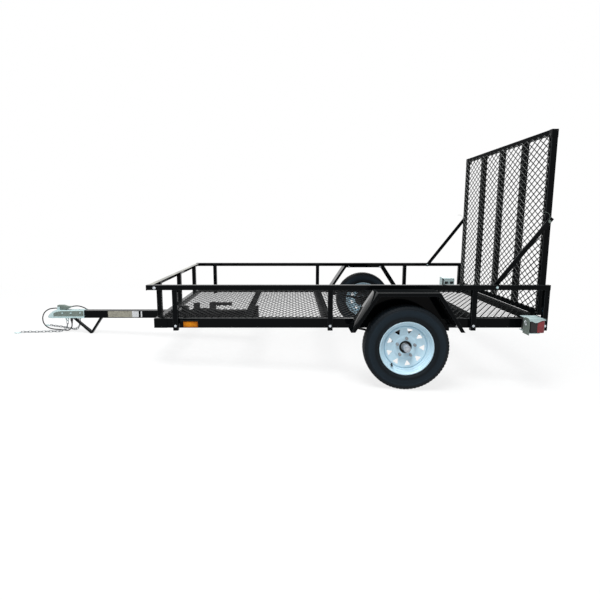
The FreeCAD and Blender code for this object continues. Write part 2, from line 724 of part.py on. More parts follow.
# along and across from the anchor, share of the anchor's height
LEFT_CHAIN = (
    (0, 0, 1), (2, 0, 0.58), (-15, -4, 0.21), (-46, -13, 0.002), (-98.3, -24, 0),
    (-158.3, -46, 0), (-214.3, -72, 0), (-270.3, -84, 0), (-318.3, -102, 0),
)
RIGHT_CHAIN = (
    (0, 0, 1), (2.1, 0, 0.5795), (-14.2, 7, 0.2152), (-43.2, 21, 0.011), (-87.2, 48, 0),
    (-141.2, 66, 0), (-195.2, 94, 0), (-251.2, 102, 0), (-303.2, 124, 0),
)
CABLE_FROM_BOOT = (
    (0, 0, 1), (-34.8, 20.12, 0.988), (-70.8, 26, 1.074), (-105.8, 14, 1.224),
    (-146.8, -1, 1.293), (-188.8, -11, 1.243), (-233.8, -15, 1.162), (-283.8, -13, 1.131),
    (-329.8, -14, 1.118), (-373.8, -15, 1.056), (-409.8, -16, 0.868), (-424.8, -17, 0.593),
    (-416.8, -18, 0.312), (-386.8, -17, 0.106), (-347.8, -9, 0.0187),
)
CABLE_TO_PLUG = (
    (-124.4, 27, 0), (-79.4, 23, 0), (-36.2, 9, 0.0125), (-11.66, 2, 0.2285),
    (1.64, 0, 0.5859), (0, 0, 1),
)
chain_lie = VALUES["chain_size"] / 2 + LIFT
cable_lie = VALUES["cable_size"] / 2 + LIFT
tongue_under = VALUES["tongue_top"] - VALUES["tongue_size"]
lug_low = tongue_under - VALUES["lug_drop"]
far_lug_y = (VALUES["tongue_size"] / 2 + VALUES["running_gap"] + VALUES["coupler_wall"]
             + VALUES["lug_thick"] / 2)
left_eye = parked(-VALUES["lug_ahead"], -VALUES["tongue_size"] / 3, lug_low)
right_eye = parked(-VALUES["far_lug_ahead"], far_lug_y, lug_low)
boot_mouth = parked(-VALUES["boot_ahead"], VALUES["tongue_size"] / 2 + VALUES["boot_out"],
                    tongue_under + VALUES["boot_rise"])
plug_end = parked(-VALUES["plug_ahead"], VALUES["plug_side"], tongue_under - VALUES["plug_height"])
left_chain = route(left_eye, chain_lie, LEFT_CHAIN)
right_chain = route(right_eye, chain_lie, RIGHT_CHAIN)
wiring = route(boot_mouth, cable_lie, CABLE_FROM_BOOT) + route(plug_end, cable_lie, CABLE_TO_PLUG)
node("left_safety_chain", cord("LeftChain", VALUES["chain_size"], left_chain))
node("right_safety_chain", cord("RightChain", VALUES["chain_size"], right_chain))
node("wiring_cable", cord("WiringCable", VALUES["cable_size"], wiring))
hooks = [chain_hook(chain[-1], chain[-2]) for chain in (left_chain, right_chain)]
node("chain_hooks", grouped("ChainHooks", hooks))


# ---------------------------------------------------------------- axle, springs and fenders
def axle():
    """Tube across the trailer with a thinner spindle at each end, in the hubs."""
    shoulder = "(track / 2 - hub_inboard - axle_room)"
    end = "(track / 2 + spindle_reach)"
    beam = cylinder("AxleTube", "axle_radius", f"2 * {shoulder}", "axle_x", f"-{shoulder}", "tyre_radius")
    spindle = cylinder("Spindle", "spindle_radius", f"2 * {end}", "axle_x", f"-{end}", "tyre_radius")
    return fused("Axle", [beam, spindle])


def spring(side):
    """Three leaves bowed down to the axle, with an eye at each end of the top leaf."""
    half_turn = f"asin(spring_chord / 2 / {SPRING_BOW})"
    y = f"{side} * {SPRING_Y} - spring_width / 2"
    centre = f"{SPRING_TOP} + {SPRING_BOW}"
    pieces = []
    # share of the top leaf's length, leaves below the top one
    for share, below in ((1.0, 0), (0.72, 1), (0.44, 2)):
        outer = DOC.addObject("Part::Cylinder", "LeafOuter")
        outer.setExpression("Radius", bound(f"{SPRING_BOW} + {below + 1} * spring_leaf"))
        outer.setExpression("Height", bound("spring_width"))
        outer.setExpression("Angle", bound(f"2 * {share} * {half_turn}"))
        place(outer, "axle_x", y, centre, (1, 0, 0), -90, f"90 deg - {share} * {half_turn}")
        inner = DOC.addObject("Part::Cylinder", "LeafInner")
        inner.setExpression("Radius", bound(f"{SPRING_BOW} + {below} * spring_leaf"))
        inner.setExpression("Height", bound("spring_width"))
        place(inner, "axle_x", y, centre, (1, 0, 0), -90)
        leaf = DOC.addObject("Part::Cut", "Leaf")
        leaf.Base = outer
        leaf.Tool = inner
        pieces.append(leaf)
    for end in (-1, 1):
        eye_x = f"axle_x + {end} * spring_chord / 2"
        pieces.append(cylinder("Eye", "eye_radius", "spring_width", eye_x, y, EYE_Z))
    return fused("Spring", pieces)


def hanger(side, end):
    """Inverted U from the side rail's flange down past a spring eye."""
    made = body("Hanger")
    inside = "(spring_width / 2 + hanger_gap)"
    outside = "(spring_width / 2 + hanger_gap + hanger_wall)"
    roof = f"({RAIL_TOP} - rail_wall)"
    under = f"({RAIL_TOP} - rail_wall - hanger_wall)"
    low = f"({EYE_Z} - hanger_below)"
    arch = (
        (f"-{outside}", low), (f"-{outside}", roof), (outside, roof), (outside, low),
        (inside, low), (inside, under), (f"-{inside}", under), (f"-{inside}", low),
    )
    pad(made, "YZ_Plane", [arch], "hanger_length")
    return place(made, f"axle_x + {end} * spring_chord / 2", f"{side} * {SPRING_Y}")


def clamp(side):
    """Plates above the spring and below the axle on four U-bolt legs, and the axle's seat.

    The upper plate's ends bear on the bowed top leaf.
    """
    y = f"{side} * {SPRING_Y}"
    bow_rise = f"({SPRING_BOW} - sqrt(pow({SPRING_BOW}; 2) - pow(clamp_length / 2; 2)))"
    top = f"({SPRING_TOP} + {bow_rise})"
    low = "(tyre_radius - axle_radius)"
    fore, aft = "axle_x - clamp_length / 2", "axle_x + clamp_length / 2"
    near, far = f"{y} - clamp_width / 2", f"{y} + clamp_width / 2"
    pieces = [
        box("ClampTop", fore, aft, near, far, top, f"{top} + clamp_plate"),
        box("ClampLow", fore, aft, near, far, f"{low} - clamp_plate", low),
    ]
    leg = f"{top} - {low} + 2 * clamp_plate + 2 * clamp_thread"
    for end in (-1, 1):
        for edge in (-1, 1):
            x = f"axle_x + {end} * (clamp_length / 2 - clamp_edge)"
            leg_y = f"{y} + {edge} * (clamp_width / 2 - clamp_edge)"
            start = f"{low} - clamp_plate - clamp_thread"
            pieces.append(cylinder("ClampLeg", "clamp_bolt", leg, x, leg_y, start, (0, 0, 1), 0))
    block = box("AxleSeatBlock", "axle_x - seat_length / 2", "axle_x + seat_length / 2",
                f"{y} - seat_width / 2", f"{y} + seat_width / 2",
                "tyre_radius + axle_radius - seat_depth", SPRING_Z)
    seat = DOC.addObject("Part::Cut", "AxleSeat")
    seat.Base = block
    seat.Tool = cylinder("SeatBore", "axle_radius + running_gap", "clamp_width", "axle_x", near,
                         "tyre_radius")
    return [fused("Clamp", pieces), seat]


def fender_band(depth):
    """Bent outline of the fender, a given depth inward from its outer face."""
    run = "((fender_base - fender_top) / 2)"
    slope = f"hypot({run}; fender_drop)"
    low_in = f"(fender_base / 2 - {depth} * {slope} / fender_drop)"
    top_in = f"(fender_top / 2 - {depth} * ({slope} - {run}) / fender_drop)"
    return (
        ("-fender_base / 2", "0"), ("-fender_top / 2", "fender_drop"),
        ("fender_top / 2", "fender_drop"), ("fender_base / 2", "0"),
        (low_in, "0"), (top_in, f"fender_drop - {depth}"),
        (f"-{top_in}", f"fender_drop - {depth}"), (f"-{low_in}", "0"),
    )


def back_panel(owner):
    """Sheet that closes the left fender's inboard edge, from its top down to the side rail."""
    foot = "(deck_height - (fender_height - fender_drop))"
    reach = f"(fender_base / 2 - {foot} * (fender_base - fender_top) / 2 / fender_drop)"
    sketch = sketch_on(owner, "XZ_Plane")
    add_outline(sketch, (
        (f"-{reach}", foot), ("-fender_top / 2", "fender_drop"),
        ("fender_top / 2", "fender_drop"), (reach, foot),
    ))
    sketch.setExpression("AttachmentOffset.Base.z", bound("(fender_wall - fender_width) / 2"))
    panel = owner.newObject("PartDesign::Pad", "BackPanel")
    panel.Profile = sketch
    panel.setExpression("Length", bound("fender_wall"))
    panel.Midplane = True
    owner.Tip = panel


def fender(side):
    """Bent strip over the tyre with a turned-down lip along each edge."""
    made = body("Fender")
    pad(made, "XZ_Plane", [fender_band("fender_wall")], "fender_width")
    for edge in (-1, 1):
        sketch = sketch_on(made, "XZ_Plane")
        add_outline(sketch, fender_band("fender_lip"))
        sketch.setExpression(
            "AttachmentOffset.Base.z", bound(f"{edge} * (fender_width - fender_wall) / 2")
        )
        lip = made.newObject("PartDesign::Pad", "FenderLip")
        lip.Profile = sketch
        lip.setExpression("Length", bound("fender_wall"))
        lip.Midplane = True
        made.Tip = lip
    if side < 0:
        back_panel(made)
    y = f"{side} * ({GUARD_FACE} + fender_gap + fender_width / 2)"
    return place(made, "axle_x", y, "fender_height - fender_drop")


def fender_stays(side):
    """Two flat stays from the side rail's web out to the fender's inner lip."""
    near = f"{side} * {HALF_FRAME}"
    far = f"{side} * ({GUARD_FACE} + fender_gap)"
    stays = []
    for end in (-1, 1):
        made = body("FenderStay")
        x = f"{end} * (fender_base / 2 - stay_inset)"
        stay = rectangle(f"{x} - stay_width / 2", "0", f"{x} + stay_width / 2", "stay_wall")
        pad(made, "XZ_Plane", [stay], "post_size + guard_wall + fender_gap")
        stays.append(place(made, "axle_x", f"(({near}) + ({far})) / 2", "fender_height - fender_drop"))
    return stays


node("axle", axle())
springs, hangers, clamps, stays = [], [], [], []
for name, side in SIDES:
    node(f"{name}_fender", fender(side))
    springs.append(spring(side))
    hangers += [hanger(side, end) for end in (-1, 1)]
    clamps += clamp(side)
    stays += fender_stays(side)
node("leaf_springs", grouped("Springs", springs))
node("spring_hangers", grouped("Hangers", hangers))
node("spring_clamps", grouped("Clamps", clamps))
node("fender_stays", grouped("FenderStays", stays))


# ---------------------------------------------------------------- wheels
def tyre():
    made = body("Tyre")
    half = "(tyre_width / 2)"
    seat = "rim_half_width - rim_wall"
    ring = (
        ("rim_seat", f"-({seat})"), ("rim_flange + 4", f"-({seat})"),
        ("rim_flange + 22", f"-{half}"), ("tyre_radius - 34", f"-{half}"),
        ("tyre_radius - 10", f"-{half} + 9"), ("tyre_radius", f"-{half} + 24"),
        ("tyre_radius", f"{half} - 24"), ("tyre_radius - 10", f"{half} - 9"),
        ("tyre_radius - 34", half), ("rim_flange + 22", half),
        ("rim_flange + 4", seat), ("rim_seat", seat),
        ("rim_seat + 8", f"{seat} - 12"), ("tyre_radius - 12", f"{seat} - 12"),
        ("tyre_radius - 12", f"-({seat}) + 12"), ("rim_seat + 8", f"-({seat}) + 12"),
    )
    revolve(made, ring)
    return made


def rim():
    """Pressed rim with a flat disc, nine windows and five stud holes."""
    made = body("Rim")
    edge, wall = "rim_half_width", "rim_wall"
    barrel = (
        ("rim_seat - rim_wall", f"-{edge}"), ("rim_flange", f"-{edge}"),
        ("rim_flange", f"-{edge} + {wall}"), ("rim_seat", f"-{edge} + {wall}"),
        ("rim_seat", f"{edge} - {wall}"), ("rim_flange", f"{edge} - {wall}"),
        ("rim_flange", edge), ("rim_seat - rim_wall", edge),
        ("rim_seat - rim_wall", "disc_offset + disc_wall"),
        ("hub_radius + running_gap", "disc_offset + disc_wall"),
        ("hub_radius + running_gap", "disc_offset"), ("rim_seat - rim_wall", "disc_offset"),
    )
    revolve(made, barrel)
    window = pocket(made, "XZ_Plane", (
        ("0", "window_inner"), ("window_half", "window_outer"), ("-window_half", "window_outer"),
    ))
    polar(made, window, "Y_Axis", 9)
    return made


def hub():
    """Hub with its flange behind the disc, a blind bore for the spindle and the grease cap."""
    made = body("Hub")
    bore = "(spindle_radius + running_gap)"
    end = "spindle_reach + spindle_room"
    profile = (
        (bore, "-hub_inboard"), ("hub_waist", "-hub_inboard"),
        ("hub_waist", "disc_offset - flange_wall"), ("hub_flange", "disc_offset - flange_wall"),
        ("hub_flange", "disc_offset"), ("hub_radius", "disc_offset"), ("hub_radius", "hub_reach"),
        ("cap_radius", "hub_reach"), ("cap_radius", "cap_reach"), ("0", "cap_reach"),
        ("0", end), (bore, end),
    )
    revolve(made, profile)
    return made


for name, side in SIDES:
    outward = 180 if side == LEFT else 0
    for part_name, make in (("tyre", tyre), ("wheel_rim", rim), ("wheel_hub", hub)):
        made = place(make(), "axle_x", f"{side} * {HALF_TRACK}", "tyre_radius", (0, 0, 1), outward)
        node(f"{name}_{part_name}", made)


# ---------------------------------------------------------------- ramp gate and struts
def gate_bar(flat, standing, role, lengths, x=0, y=0, z=0):
    """Angle of the gate: a leg in the gate's plane and one standing back from it.

    flat and standing are the two legs' sections; lengths are theirs, about the same middle.
    """
    made = body("GateBar")
    for section, length in zip((flat, standing), lengths):
        pad(made, role, [section], length)
    return place(made, x, y, z)


GATE_MIDDLE = f"({GATE_BOTTOM} + gate_height / 2)"


def gate_side(side):
    flat = rectangle("0", "0", "gate_wall", f"{-side} * gate_leg")
    standing = rectangle("gate_wall", "0", "gate_leg", f"{-side} * gate_wall")
    both = ("gate_height", "gate_height")
    return gate_bar(flat, standing, "XY_Plane", both, GATE_FRONT, f"{side} * {GATE_WIDTH} / 2", GATE_MIDDLE)


def gate_cross(end):
    """Top (end 1) or bottom (end -1) bar, coped between the side bars."""
    flat = rectangle("0", "0", "gate_wall", f"{-end} * gate_leg")
    standing = rectangle("gate_wall", "0", "gate_leg", f"{-end} * gate_wall")
    lengths = (f"{GATE_WIDTH} - 2 * gate_leg", f"{GATE_WIDTH} - 2 * gate_wall")
    z = f"{GATE_MIDDLE} + {end} * gate_height / 2"
    return gate_bar(flat, standing, "XZ_Plane", lengths, GATE_FRONT, 0, z)


def gate_inner(place_share):
    """Upright between the cross bars, at a share of the gate's width from its middle."""
    flat = rectangle("0", "-gate_leg / 2", "gate_wall", "gate_leg / 2")
    standing = rectangle("gate_wall", "-gate_leg / 2", "gate_leg", "gate_wall - gate_leg / 2")
    lengths = ("gate_height - 2 * gate_leg", "gate_height - 2 * gate_wall")
    y = f"{place_share} * ({GATE_WIDTH} - gate_leg)"
    return gate_bar(flat, standing, "XY_Plane", lengths, GATE_FRONT, y, GATE_MIDDLE)


def knuckle(side):
    """Barrel on the hinge pin with a tab that lies on the gate's bottom bar."""
    made = body("Knuckle")
    low = "(gate_wall - hinge_rise)"
    tab = rectangle("-hinge_back - tab_length", low, "0", f"{low} + knuckle_tab")
    pad(made, "XZ_Plane", [("0", "0", "knuckle_radius")], "knuckle_length")
    pad(made, "XZ_Plane", [tab], "knuckle_length")
    pocket(made, "XZ_Plane", ("0", "0", "hinge_pin + running_gap"))
    return place(made, HINGE_X, f"{side} * {HINGE_Y}", HINGE_Z)


def hinge_lugs(side):
    """Two lug plates on the frame's rear face with the pin between them."""
    made = body("HingeLugs")
    spread = "(knuckle_length / 2 + lug_gap)"
    low = f"({RAIL_BOTTOM} + lug_foot - {HINGE_Z})"
    seat = "(-hinge_rise - lug_neck)"
    k, cut = "knuckle_radius", "knuckle_radius * (sqrt(2) - 1)"
    lug = (
        ("-hinge_out", low), (k, low), (k, cut), (cut, k), (f"-{cut}", k), (f"-{k}", cut),
        (f"-{cut}", f"-{k}"), (f"-{cut}", seat), ("-hinge_out", seat),
    )
    for end in (-1, 1):
        sketch = sketch_on(made, "XZ_Plane")
        add_outline(sketch, lug)
        sketch.setExpression("AttachmentOffset.Base.z", bound(f"{end} * ({spread} + lug_wall / 2)"))
        plate = made.newObject("PartDesign::Pad", "Lug")
        plate.Profile = sketch
        plate.setExpression("Length", bound("lug_wall"))
        plate.Midplane = True
        if end == -1:
            pad(made, "XZ_Plane", [("0", "0", "hinge_pin")], f"2 * ({spread} + lug_gap)")
    made.Tip = plate
    return place(made, HINGE_X, f"{side} * {HINGE_Y}", HINGE_Z)


def strut(side):
    """Flat bar from the guard rail up to the gate, with the pin that held the gate."""
    y = f"{side} * ({GATE_WIDTH} / 2 + strut_gap)"
    made = body("Strut")
    half = "(strut_width / 2)"
    bar = rectangle("0", f"-{half}", "strut_length + strut_over", half)
    pad(made, "XZ_Plane", [bar], "strut_wall")
    pad(made, "XZ_Plane", [("0", "0", half)], "strut_wall")
    pocket(made, "XZ_Plane", ("0", "0", "strut_pin + running_gap"))
    inward = "strut_gap - strut_clear"
    pad(made, "XZ_Plane", [("strut_length", "0", "strut_pin")], inward, middle=False, backward=side == LEFT)
    return place(made, STRUT_X, y, "guard_height - strut_below", (0, 1, 0), "-strut_rise")


def strut_bolts():
    """Bolts from the guard rails' legs inward through the struts."""
    bolts = []
    for side in (LEFT, RIGHT):
        inner_end = f"({GATE_WIDTH} / 2 + strut_gap - strut_wall / 2 - bolt_over)"
        shank = f"({GUARD_FACE} - guard_wall - {inner_end})"
        start = f"{side} * ({inner_end} + {shank} / 2) - {shank} / 2"
        bolts.append(cylinder("StrutBolt", "strut_pin", shank, STRUT_X, start, "guard_height - strut_below"))
    return bolts


uprights = [gate_side(LEFT), gate_side(RIGHT), *[gate_inner(share) for share in (-0.25, 0, 0.25)]]
node("gate_uprights", grouped("GateUprights", uprights))
node("gate_cross_bars", grouped("GateCrossBars", [gate_cross(1), gate_cross(-1)]))
node(
    "gate_mesh",
    box("GateMesh", f"{GATE_FRONT} - deck_sheet", GATE_FRONT, f"-{GATE_WIDTH} / 2 + gate_inset",
        f"{GATE_WIDTH} / 2 - gate_inset", f"{GATE_BOTTOM} + gate_inset",
        f"{GATE_BOTTOM} + gate_height - gate_inset"),
)
node("gate_hinge_knuckles", grouped("Knuckles", [knuckle(LEFT), knuckle(RIGHT)]))
node("gate_hinge_lugs", grouped("HingeLugPairs", [hinge_lugs(LEFT), hinge_lugs(RIGHT)]))
for name, side in SIDES:
    node(f"{name}_gate_strut", strut(side))
node("gate_strut_bolts", grouped("StrutBolts", strut_bolts()))


# ---------------------------------------------------------------- lamps
MARKER_LOW = f"({RAIL_BOTTOM} + marker_rise)"


def marker(side):
    middle = f"({side} * ({HALF_FRAME} + (marker_depth + hood_wall) / 2))"
    half = "((marker_depth - hood_wall) / 2)"
    return box("Marker", "marker_x", "marker_x + marker_length", f"{middle} - {half}",
               f"{middle} + {half}", MARKER_LOW, f"{MARKER_LOW} + marker_height")


def marker_hood(side):
    """Folded plate behind and over the side marker."""
    made = body("MarkerHood")
    low, under = f"({MARKER_LOW} - hood_below)", f"({MARKER_LOW} + marker_height + hood_above)"
    high = f"({under} + hood_wall)"
    face, edge = f"{side} * {HALF_FRAME}", f"{side} * ({HALF_FRAME} + marker_depth + hood_over)"
    back = f"{side} * ({HALF_FRAME} + hood_wall)"
    fold = ((face, low), (face, high), (edge, high), (edge, under), (back, under), (back, low))
    pad(made, "YZ_Plane", [fold], "marker_length + hood_ahead + hood_behind", middle=False)
    return place(made, "marker_x - hood_ahead")


BRACKET_WIDTH = "(lamp_width + 2 * lamp_side)"
LAMP_FLOOR = {LEFT: "lamp_floor", RIGHT: "(lamp_floor + lamp_lift)"}


def lamp_bracket(side):
    """Folded zinc bracket on the side rail: a front plate with a roof and a floor over the lamp."""
    made = body("LampBracket")
    floor, top = "-lamp_wall", "lamp_height + lamp_room + lamp_wall"
    roof = "lamp_height + lamp_room"
    front, back = "-lamp_fore", "lamp_depth + lamp_aft"
    fold = (
        (front, floor), (back, floor), (back, "0"), (f"{front} + lamp_wall", "0"),
        (f"{front} + lamp_wall", roof), (back, roof), (back, top), (front, top),
    )
    pad(made, "XZ_Plane", [fold], BRACKET_WIDTH)
    return place(made, LAMP_X, f"{side} * ({HALF_FRAME} + {BRACKET_WIDTH} / 2)", LAMP_FLOOR[side])


def tail_lamp(side):
    y = f"{side} * ({HALF_FRAME} + {BRACKET_WIDTH} / 2)"
    floor = LAMP_FLOOR[side]
    return box("TailLamp", LAMP_X, f"{LAMP_X} + lamp_depth", f"{y} - lamp_width / 2",
               f"{y} + lamp_width / 2", floor, f"{floor} + lamp_height")


for label, make in (
    ("side_markers", marker), ("marker_hoods", marker_hood),
    ("lamp_brackets", lamp_bracket), ("tail_lamps", tail_lamp),
):
    node(label, grouped(label.title().replace("_", ""), [make(LEFT), make(RIGHT)]))


# ---------------------------------------------------------------- check and write
DOC.recompute()
for thing in DOC.Objects:
    if {"Invalid", "Error"} & set(thing.State):
        raise RuntimeError(f"{thing.Name} ({thing.Label}) did not build: {thing.State}")
os.makedirs("parts", exist_ok=True)
for label, made in NODES.items():
    shape = made.Shape
    if shape.isNull() or not shape.isValid() or not shape.Solids:
        raise RuntimeError(f"{label} has no valid solid")
for label, made in NODES.items():
    made.Shape.exportStep(f"parts/{label}.step")
    print(f"{label}: {len(made.Shape.Solids)} solid(s), {made.Shape.Volume / 1000:.1f} cm3")
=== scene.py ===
"""The looks of a single-axle utility trailer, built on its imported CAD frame.

Pieces are drawn in the level trailer's own axes: x runs aft, y to the right and z up, in metres
from the middle of the axle. LEVEL then carries them into the parked pose of the frame.
"""

import json
import math

import bmesh
import bpy
from bpy.props import FloatProperty, FloatVectorProperty, IntProperty, PointerProperty
from mathutils import Matrix, Vector
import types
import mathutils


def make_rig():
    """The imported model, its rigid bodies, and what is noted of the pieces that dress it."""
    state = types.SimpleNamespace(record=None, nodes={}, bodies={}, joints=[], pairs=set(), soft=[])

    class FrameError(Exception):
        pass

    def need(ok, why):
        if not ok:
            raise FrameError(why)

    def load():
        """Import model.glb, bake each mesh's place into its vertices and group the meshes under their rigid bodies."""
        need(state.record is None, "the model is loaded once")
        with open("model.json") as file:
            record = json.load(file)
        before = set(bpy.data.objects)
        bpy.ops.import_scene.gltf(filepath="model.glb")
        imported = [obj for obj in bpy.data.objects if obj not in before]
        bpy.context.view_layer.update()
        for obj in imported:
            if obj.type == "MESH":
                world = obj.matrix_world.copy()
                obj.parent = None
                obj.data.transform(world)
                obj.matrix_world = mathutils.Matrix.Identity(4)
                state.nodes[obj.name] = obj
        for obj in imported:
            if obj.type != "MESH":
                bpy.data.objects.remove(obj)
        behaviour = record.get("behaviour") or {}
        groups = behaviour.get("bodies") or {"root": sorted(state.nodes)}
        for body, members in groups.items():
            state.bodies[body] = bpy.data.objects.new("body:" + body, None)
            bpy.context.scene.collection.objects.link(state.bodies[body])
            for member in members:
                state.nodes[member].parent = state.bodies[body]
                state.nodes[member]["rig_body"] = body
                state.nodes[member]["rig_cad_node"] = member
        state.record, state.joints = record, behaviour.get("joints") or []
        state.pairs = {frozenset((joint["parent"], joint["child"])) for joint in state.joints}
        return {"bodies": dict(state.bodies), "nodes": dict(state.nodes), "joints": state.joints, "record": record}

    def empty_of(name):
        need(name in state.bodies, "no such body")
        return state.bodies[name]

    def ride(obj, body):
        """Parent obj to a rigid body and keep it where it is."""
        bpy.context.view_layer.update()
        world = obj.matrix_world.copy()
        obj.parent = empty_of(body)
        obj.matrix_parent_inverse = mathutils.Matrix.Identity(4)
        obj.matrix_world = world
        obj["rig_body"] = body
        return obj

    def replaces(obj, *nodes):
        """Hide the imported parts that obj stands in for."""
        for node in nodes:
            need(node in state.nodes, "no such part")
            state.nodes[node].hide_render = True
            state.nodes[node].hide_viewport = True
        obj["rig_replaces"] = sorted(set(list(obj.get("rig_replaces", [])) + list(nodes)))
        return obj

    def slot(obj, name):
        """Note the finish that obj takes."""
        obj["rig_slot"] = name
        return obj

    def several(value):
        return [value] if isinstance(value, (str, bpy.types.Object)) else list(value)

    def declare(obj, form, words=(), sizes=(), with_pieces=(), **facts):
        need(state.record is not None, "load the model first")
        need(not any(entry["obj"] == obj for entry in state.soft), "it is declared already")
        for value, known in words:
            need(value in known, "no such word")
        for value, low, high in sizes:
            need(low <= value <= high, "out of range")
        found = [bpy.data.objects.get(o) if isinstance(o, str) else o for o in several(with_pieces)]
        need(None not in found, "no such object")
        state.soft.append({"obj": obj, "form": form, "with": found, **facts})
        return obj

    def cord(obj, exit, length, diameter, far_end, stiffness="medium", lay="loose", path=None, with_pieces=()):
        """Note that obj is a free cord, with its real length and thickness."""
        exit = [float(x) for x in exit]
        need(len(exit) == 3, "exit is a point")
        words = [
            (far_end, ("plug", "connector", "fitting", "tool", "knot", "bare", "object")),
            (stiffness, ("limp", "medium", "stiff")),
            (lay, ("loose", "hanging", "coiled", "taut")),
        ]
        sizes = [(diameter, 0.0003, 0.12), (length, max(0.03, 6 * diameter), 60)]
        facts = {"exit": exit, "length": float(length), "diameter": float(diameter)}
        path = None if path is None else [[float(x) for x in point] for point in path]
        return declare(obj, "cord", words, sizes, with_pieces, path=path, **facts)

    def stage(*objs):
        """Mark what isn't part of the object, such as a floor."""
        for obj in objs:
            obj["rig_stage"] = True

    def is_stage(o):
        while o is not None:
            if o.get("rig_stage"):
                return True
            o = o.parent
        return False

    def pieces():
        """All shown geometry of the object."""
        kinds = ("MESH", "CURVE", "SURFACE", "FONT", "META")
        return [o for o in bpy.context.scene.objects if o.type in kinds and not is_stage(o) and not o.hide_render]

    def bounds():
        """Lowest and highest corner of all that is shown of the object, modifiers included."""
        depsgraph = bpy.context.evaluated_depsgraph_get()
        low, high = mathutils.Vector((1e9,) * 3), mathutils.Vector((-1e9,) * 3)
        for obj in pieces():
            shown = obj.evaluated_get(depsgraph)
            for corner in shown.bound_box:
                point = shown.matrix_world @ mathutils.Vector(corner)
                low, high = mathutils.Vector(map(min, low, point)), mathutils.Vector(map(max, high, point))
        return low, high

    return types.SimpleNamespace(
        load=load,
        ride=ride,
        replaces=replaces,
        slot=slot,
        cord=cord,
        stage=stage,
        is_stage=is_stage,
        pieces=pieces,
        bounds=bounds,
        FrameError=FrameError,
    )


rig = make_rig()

bl_info = {
    "name": "Utility trailer",
    "version": (1, 0, 0),
    "blender": (4, 5, 0),
    "location": "3D View > Sidebar > Trailer",
    "description": "Builds the detailed pieces and finishes of a mesh-deck utility trailer",
    "category": "Object",
}

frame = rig.load()
CAD_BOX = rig.bounds()
JOINTS = {joint["name"]: joint for joint in frame["joints"]}
MOUNTS = {row["name"]: row for row in frame["record"]["mounts"]}
DECK_UP = MOUNTS["deck"]["axis"]
TILT = math.atan2(-DECK_UP[0], DECK_UP[2])
WHEEL_MIDDLE = Vector(JOINTS["left_wheel_spin"]["pos_m"])
LEVEL = Matrix.Translation((WHEEL_MIDDLE.x, 0, WHEEL_MIDDLE.z)) @ Matrix.Rotation(-TILT, 4, "Y")
SIDES = (("left", -1), ("right", 1))
MM = 0.001
BED_HALF = 0.795
RAIL_FACE = 0.830


def level_mesh(node, gap):
    """A CAD node's mesh in level axes; points nearer than the gap become one."""
    bm = bmesh.new()
    bm.from_mesh(frame["nodes"][node].data)
    bm.transform(LEVEL.inverted())
    bmesh.ops.remove_doubles(bm, verts=bm.verts, dist=gap)
    return bm


def solids(node):
    """Boxes of a CAD node's separate solids in level axes: front to back, left to right, up."""
    bm = level_mesh(node, gap=1e-5)
    boxes, left = [], set(bm.verts)
    while left:
        heap, island = [left.pop()], []
        while heap:
            vert = heap.pop()
            island.append(vert.co.copy())
            for edge in vert.link_edges:
                other = edge.other_vert(vert)
                if other in left:
                    left.remove(other)
                    heap.append(other)
        low = Vector(min(co[i] for co in island) for i in range(3))
        high = Vector(max(co[i] for co in island) for i in range(3))
        boxes.append((low, high))
    bm.free()
    return sorted(boxes, key=lambda pair: [round(part, 3) for part in pair[0]])


def spot(node):
    """A CAD node's lowest and highest corners in level axes."""
    pairs = solids(node)
    return (
        Vector(min(pair[0][i] for pair in pairs) for i in range(3)),
        Vector(max(pair[1][i] for pair in pairs) for i in range(3)),
    )


def levelled(row):
    """Where a joint or a mount of the frame is in level axes."""
    return LEVEL.inverted() @ Vector(row["pos_m"])


def outward(low, high):
    """Which side of the trailer a box is on, then its inner and outer faces."""
    side = math.copysign(1, low.y)
    return (side, high.y, low.y) if side < 0 else (side, low.y, high.y)


# ---------------------------------------------------------------- node trees
class Wire:
    """An output socket. Sums, products and comparisons of wires add Math nodes."""

    def __init__(self, sheet, socket):
        self.sheet, self.socket = sheet, socket

    def math(self, operation, *terms):
        settings = {"operation": operation}
        return self.sheet.add("ShaderNodeMath", settings, dict(enumerate(terms)))

    def __add__(self, other):
        return self.math("ADD", self, other)

    def __sub__(self, other):
        return self.math("SUBTRACT", self, other)

    def __rsub__(self, other):
        return self.math("SUBTRACT", other, self)

    def __mul__(self, other):
        return self.math("MULTIPLY", self, other)

    def __truediv__(self, other):
        return self.math("DIVIDE", self, other)

    def __rtruediv__(self, other):
        return self.math("DIVIDE", other, self)

    def __gt__(self, other):
        return self.math("GREATER_THAN", self, other)

    def __lt__(self, other):
        return self.math("LESS_THAN", self, other)

    __radd__ = __add__
    __rmul__ = __mul__

    def clamped(self, low=0.0, high=1.0):
        return self.math("MAXIMUM", self.math("MINIMUM", self, high), low)

    def floor(self):
        return self.math("FLOOR", self)

    def modulo(self, size):
        return self.math("FLOORED_MODULO", self, size)


def emptied(owner):
    """The node tree of a material or a world, with nothing in it yet."""
    owner.use_nodes = True
    owner.node_tree.nodes.clear()
    return owner.node_tree


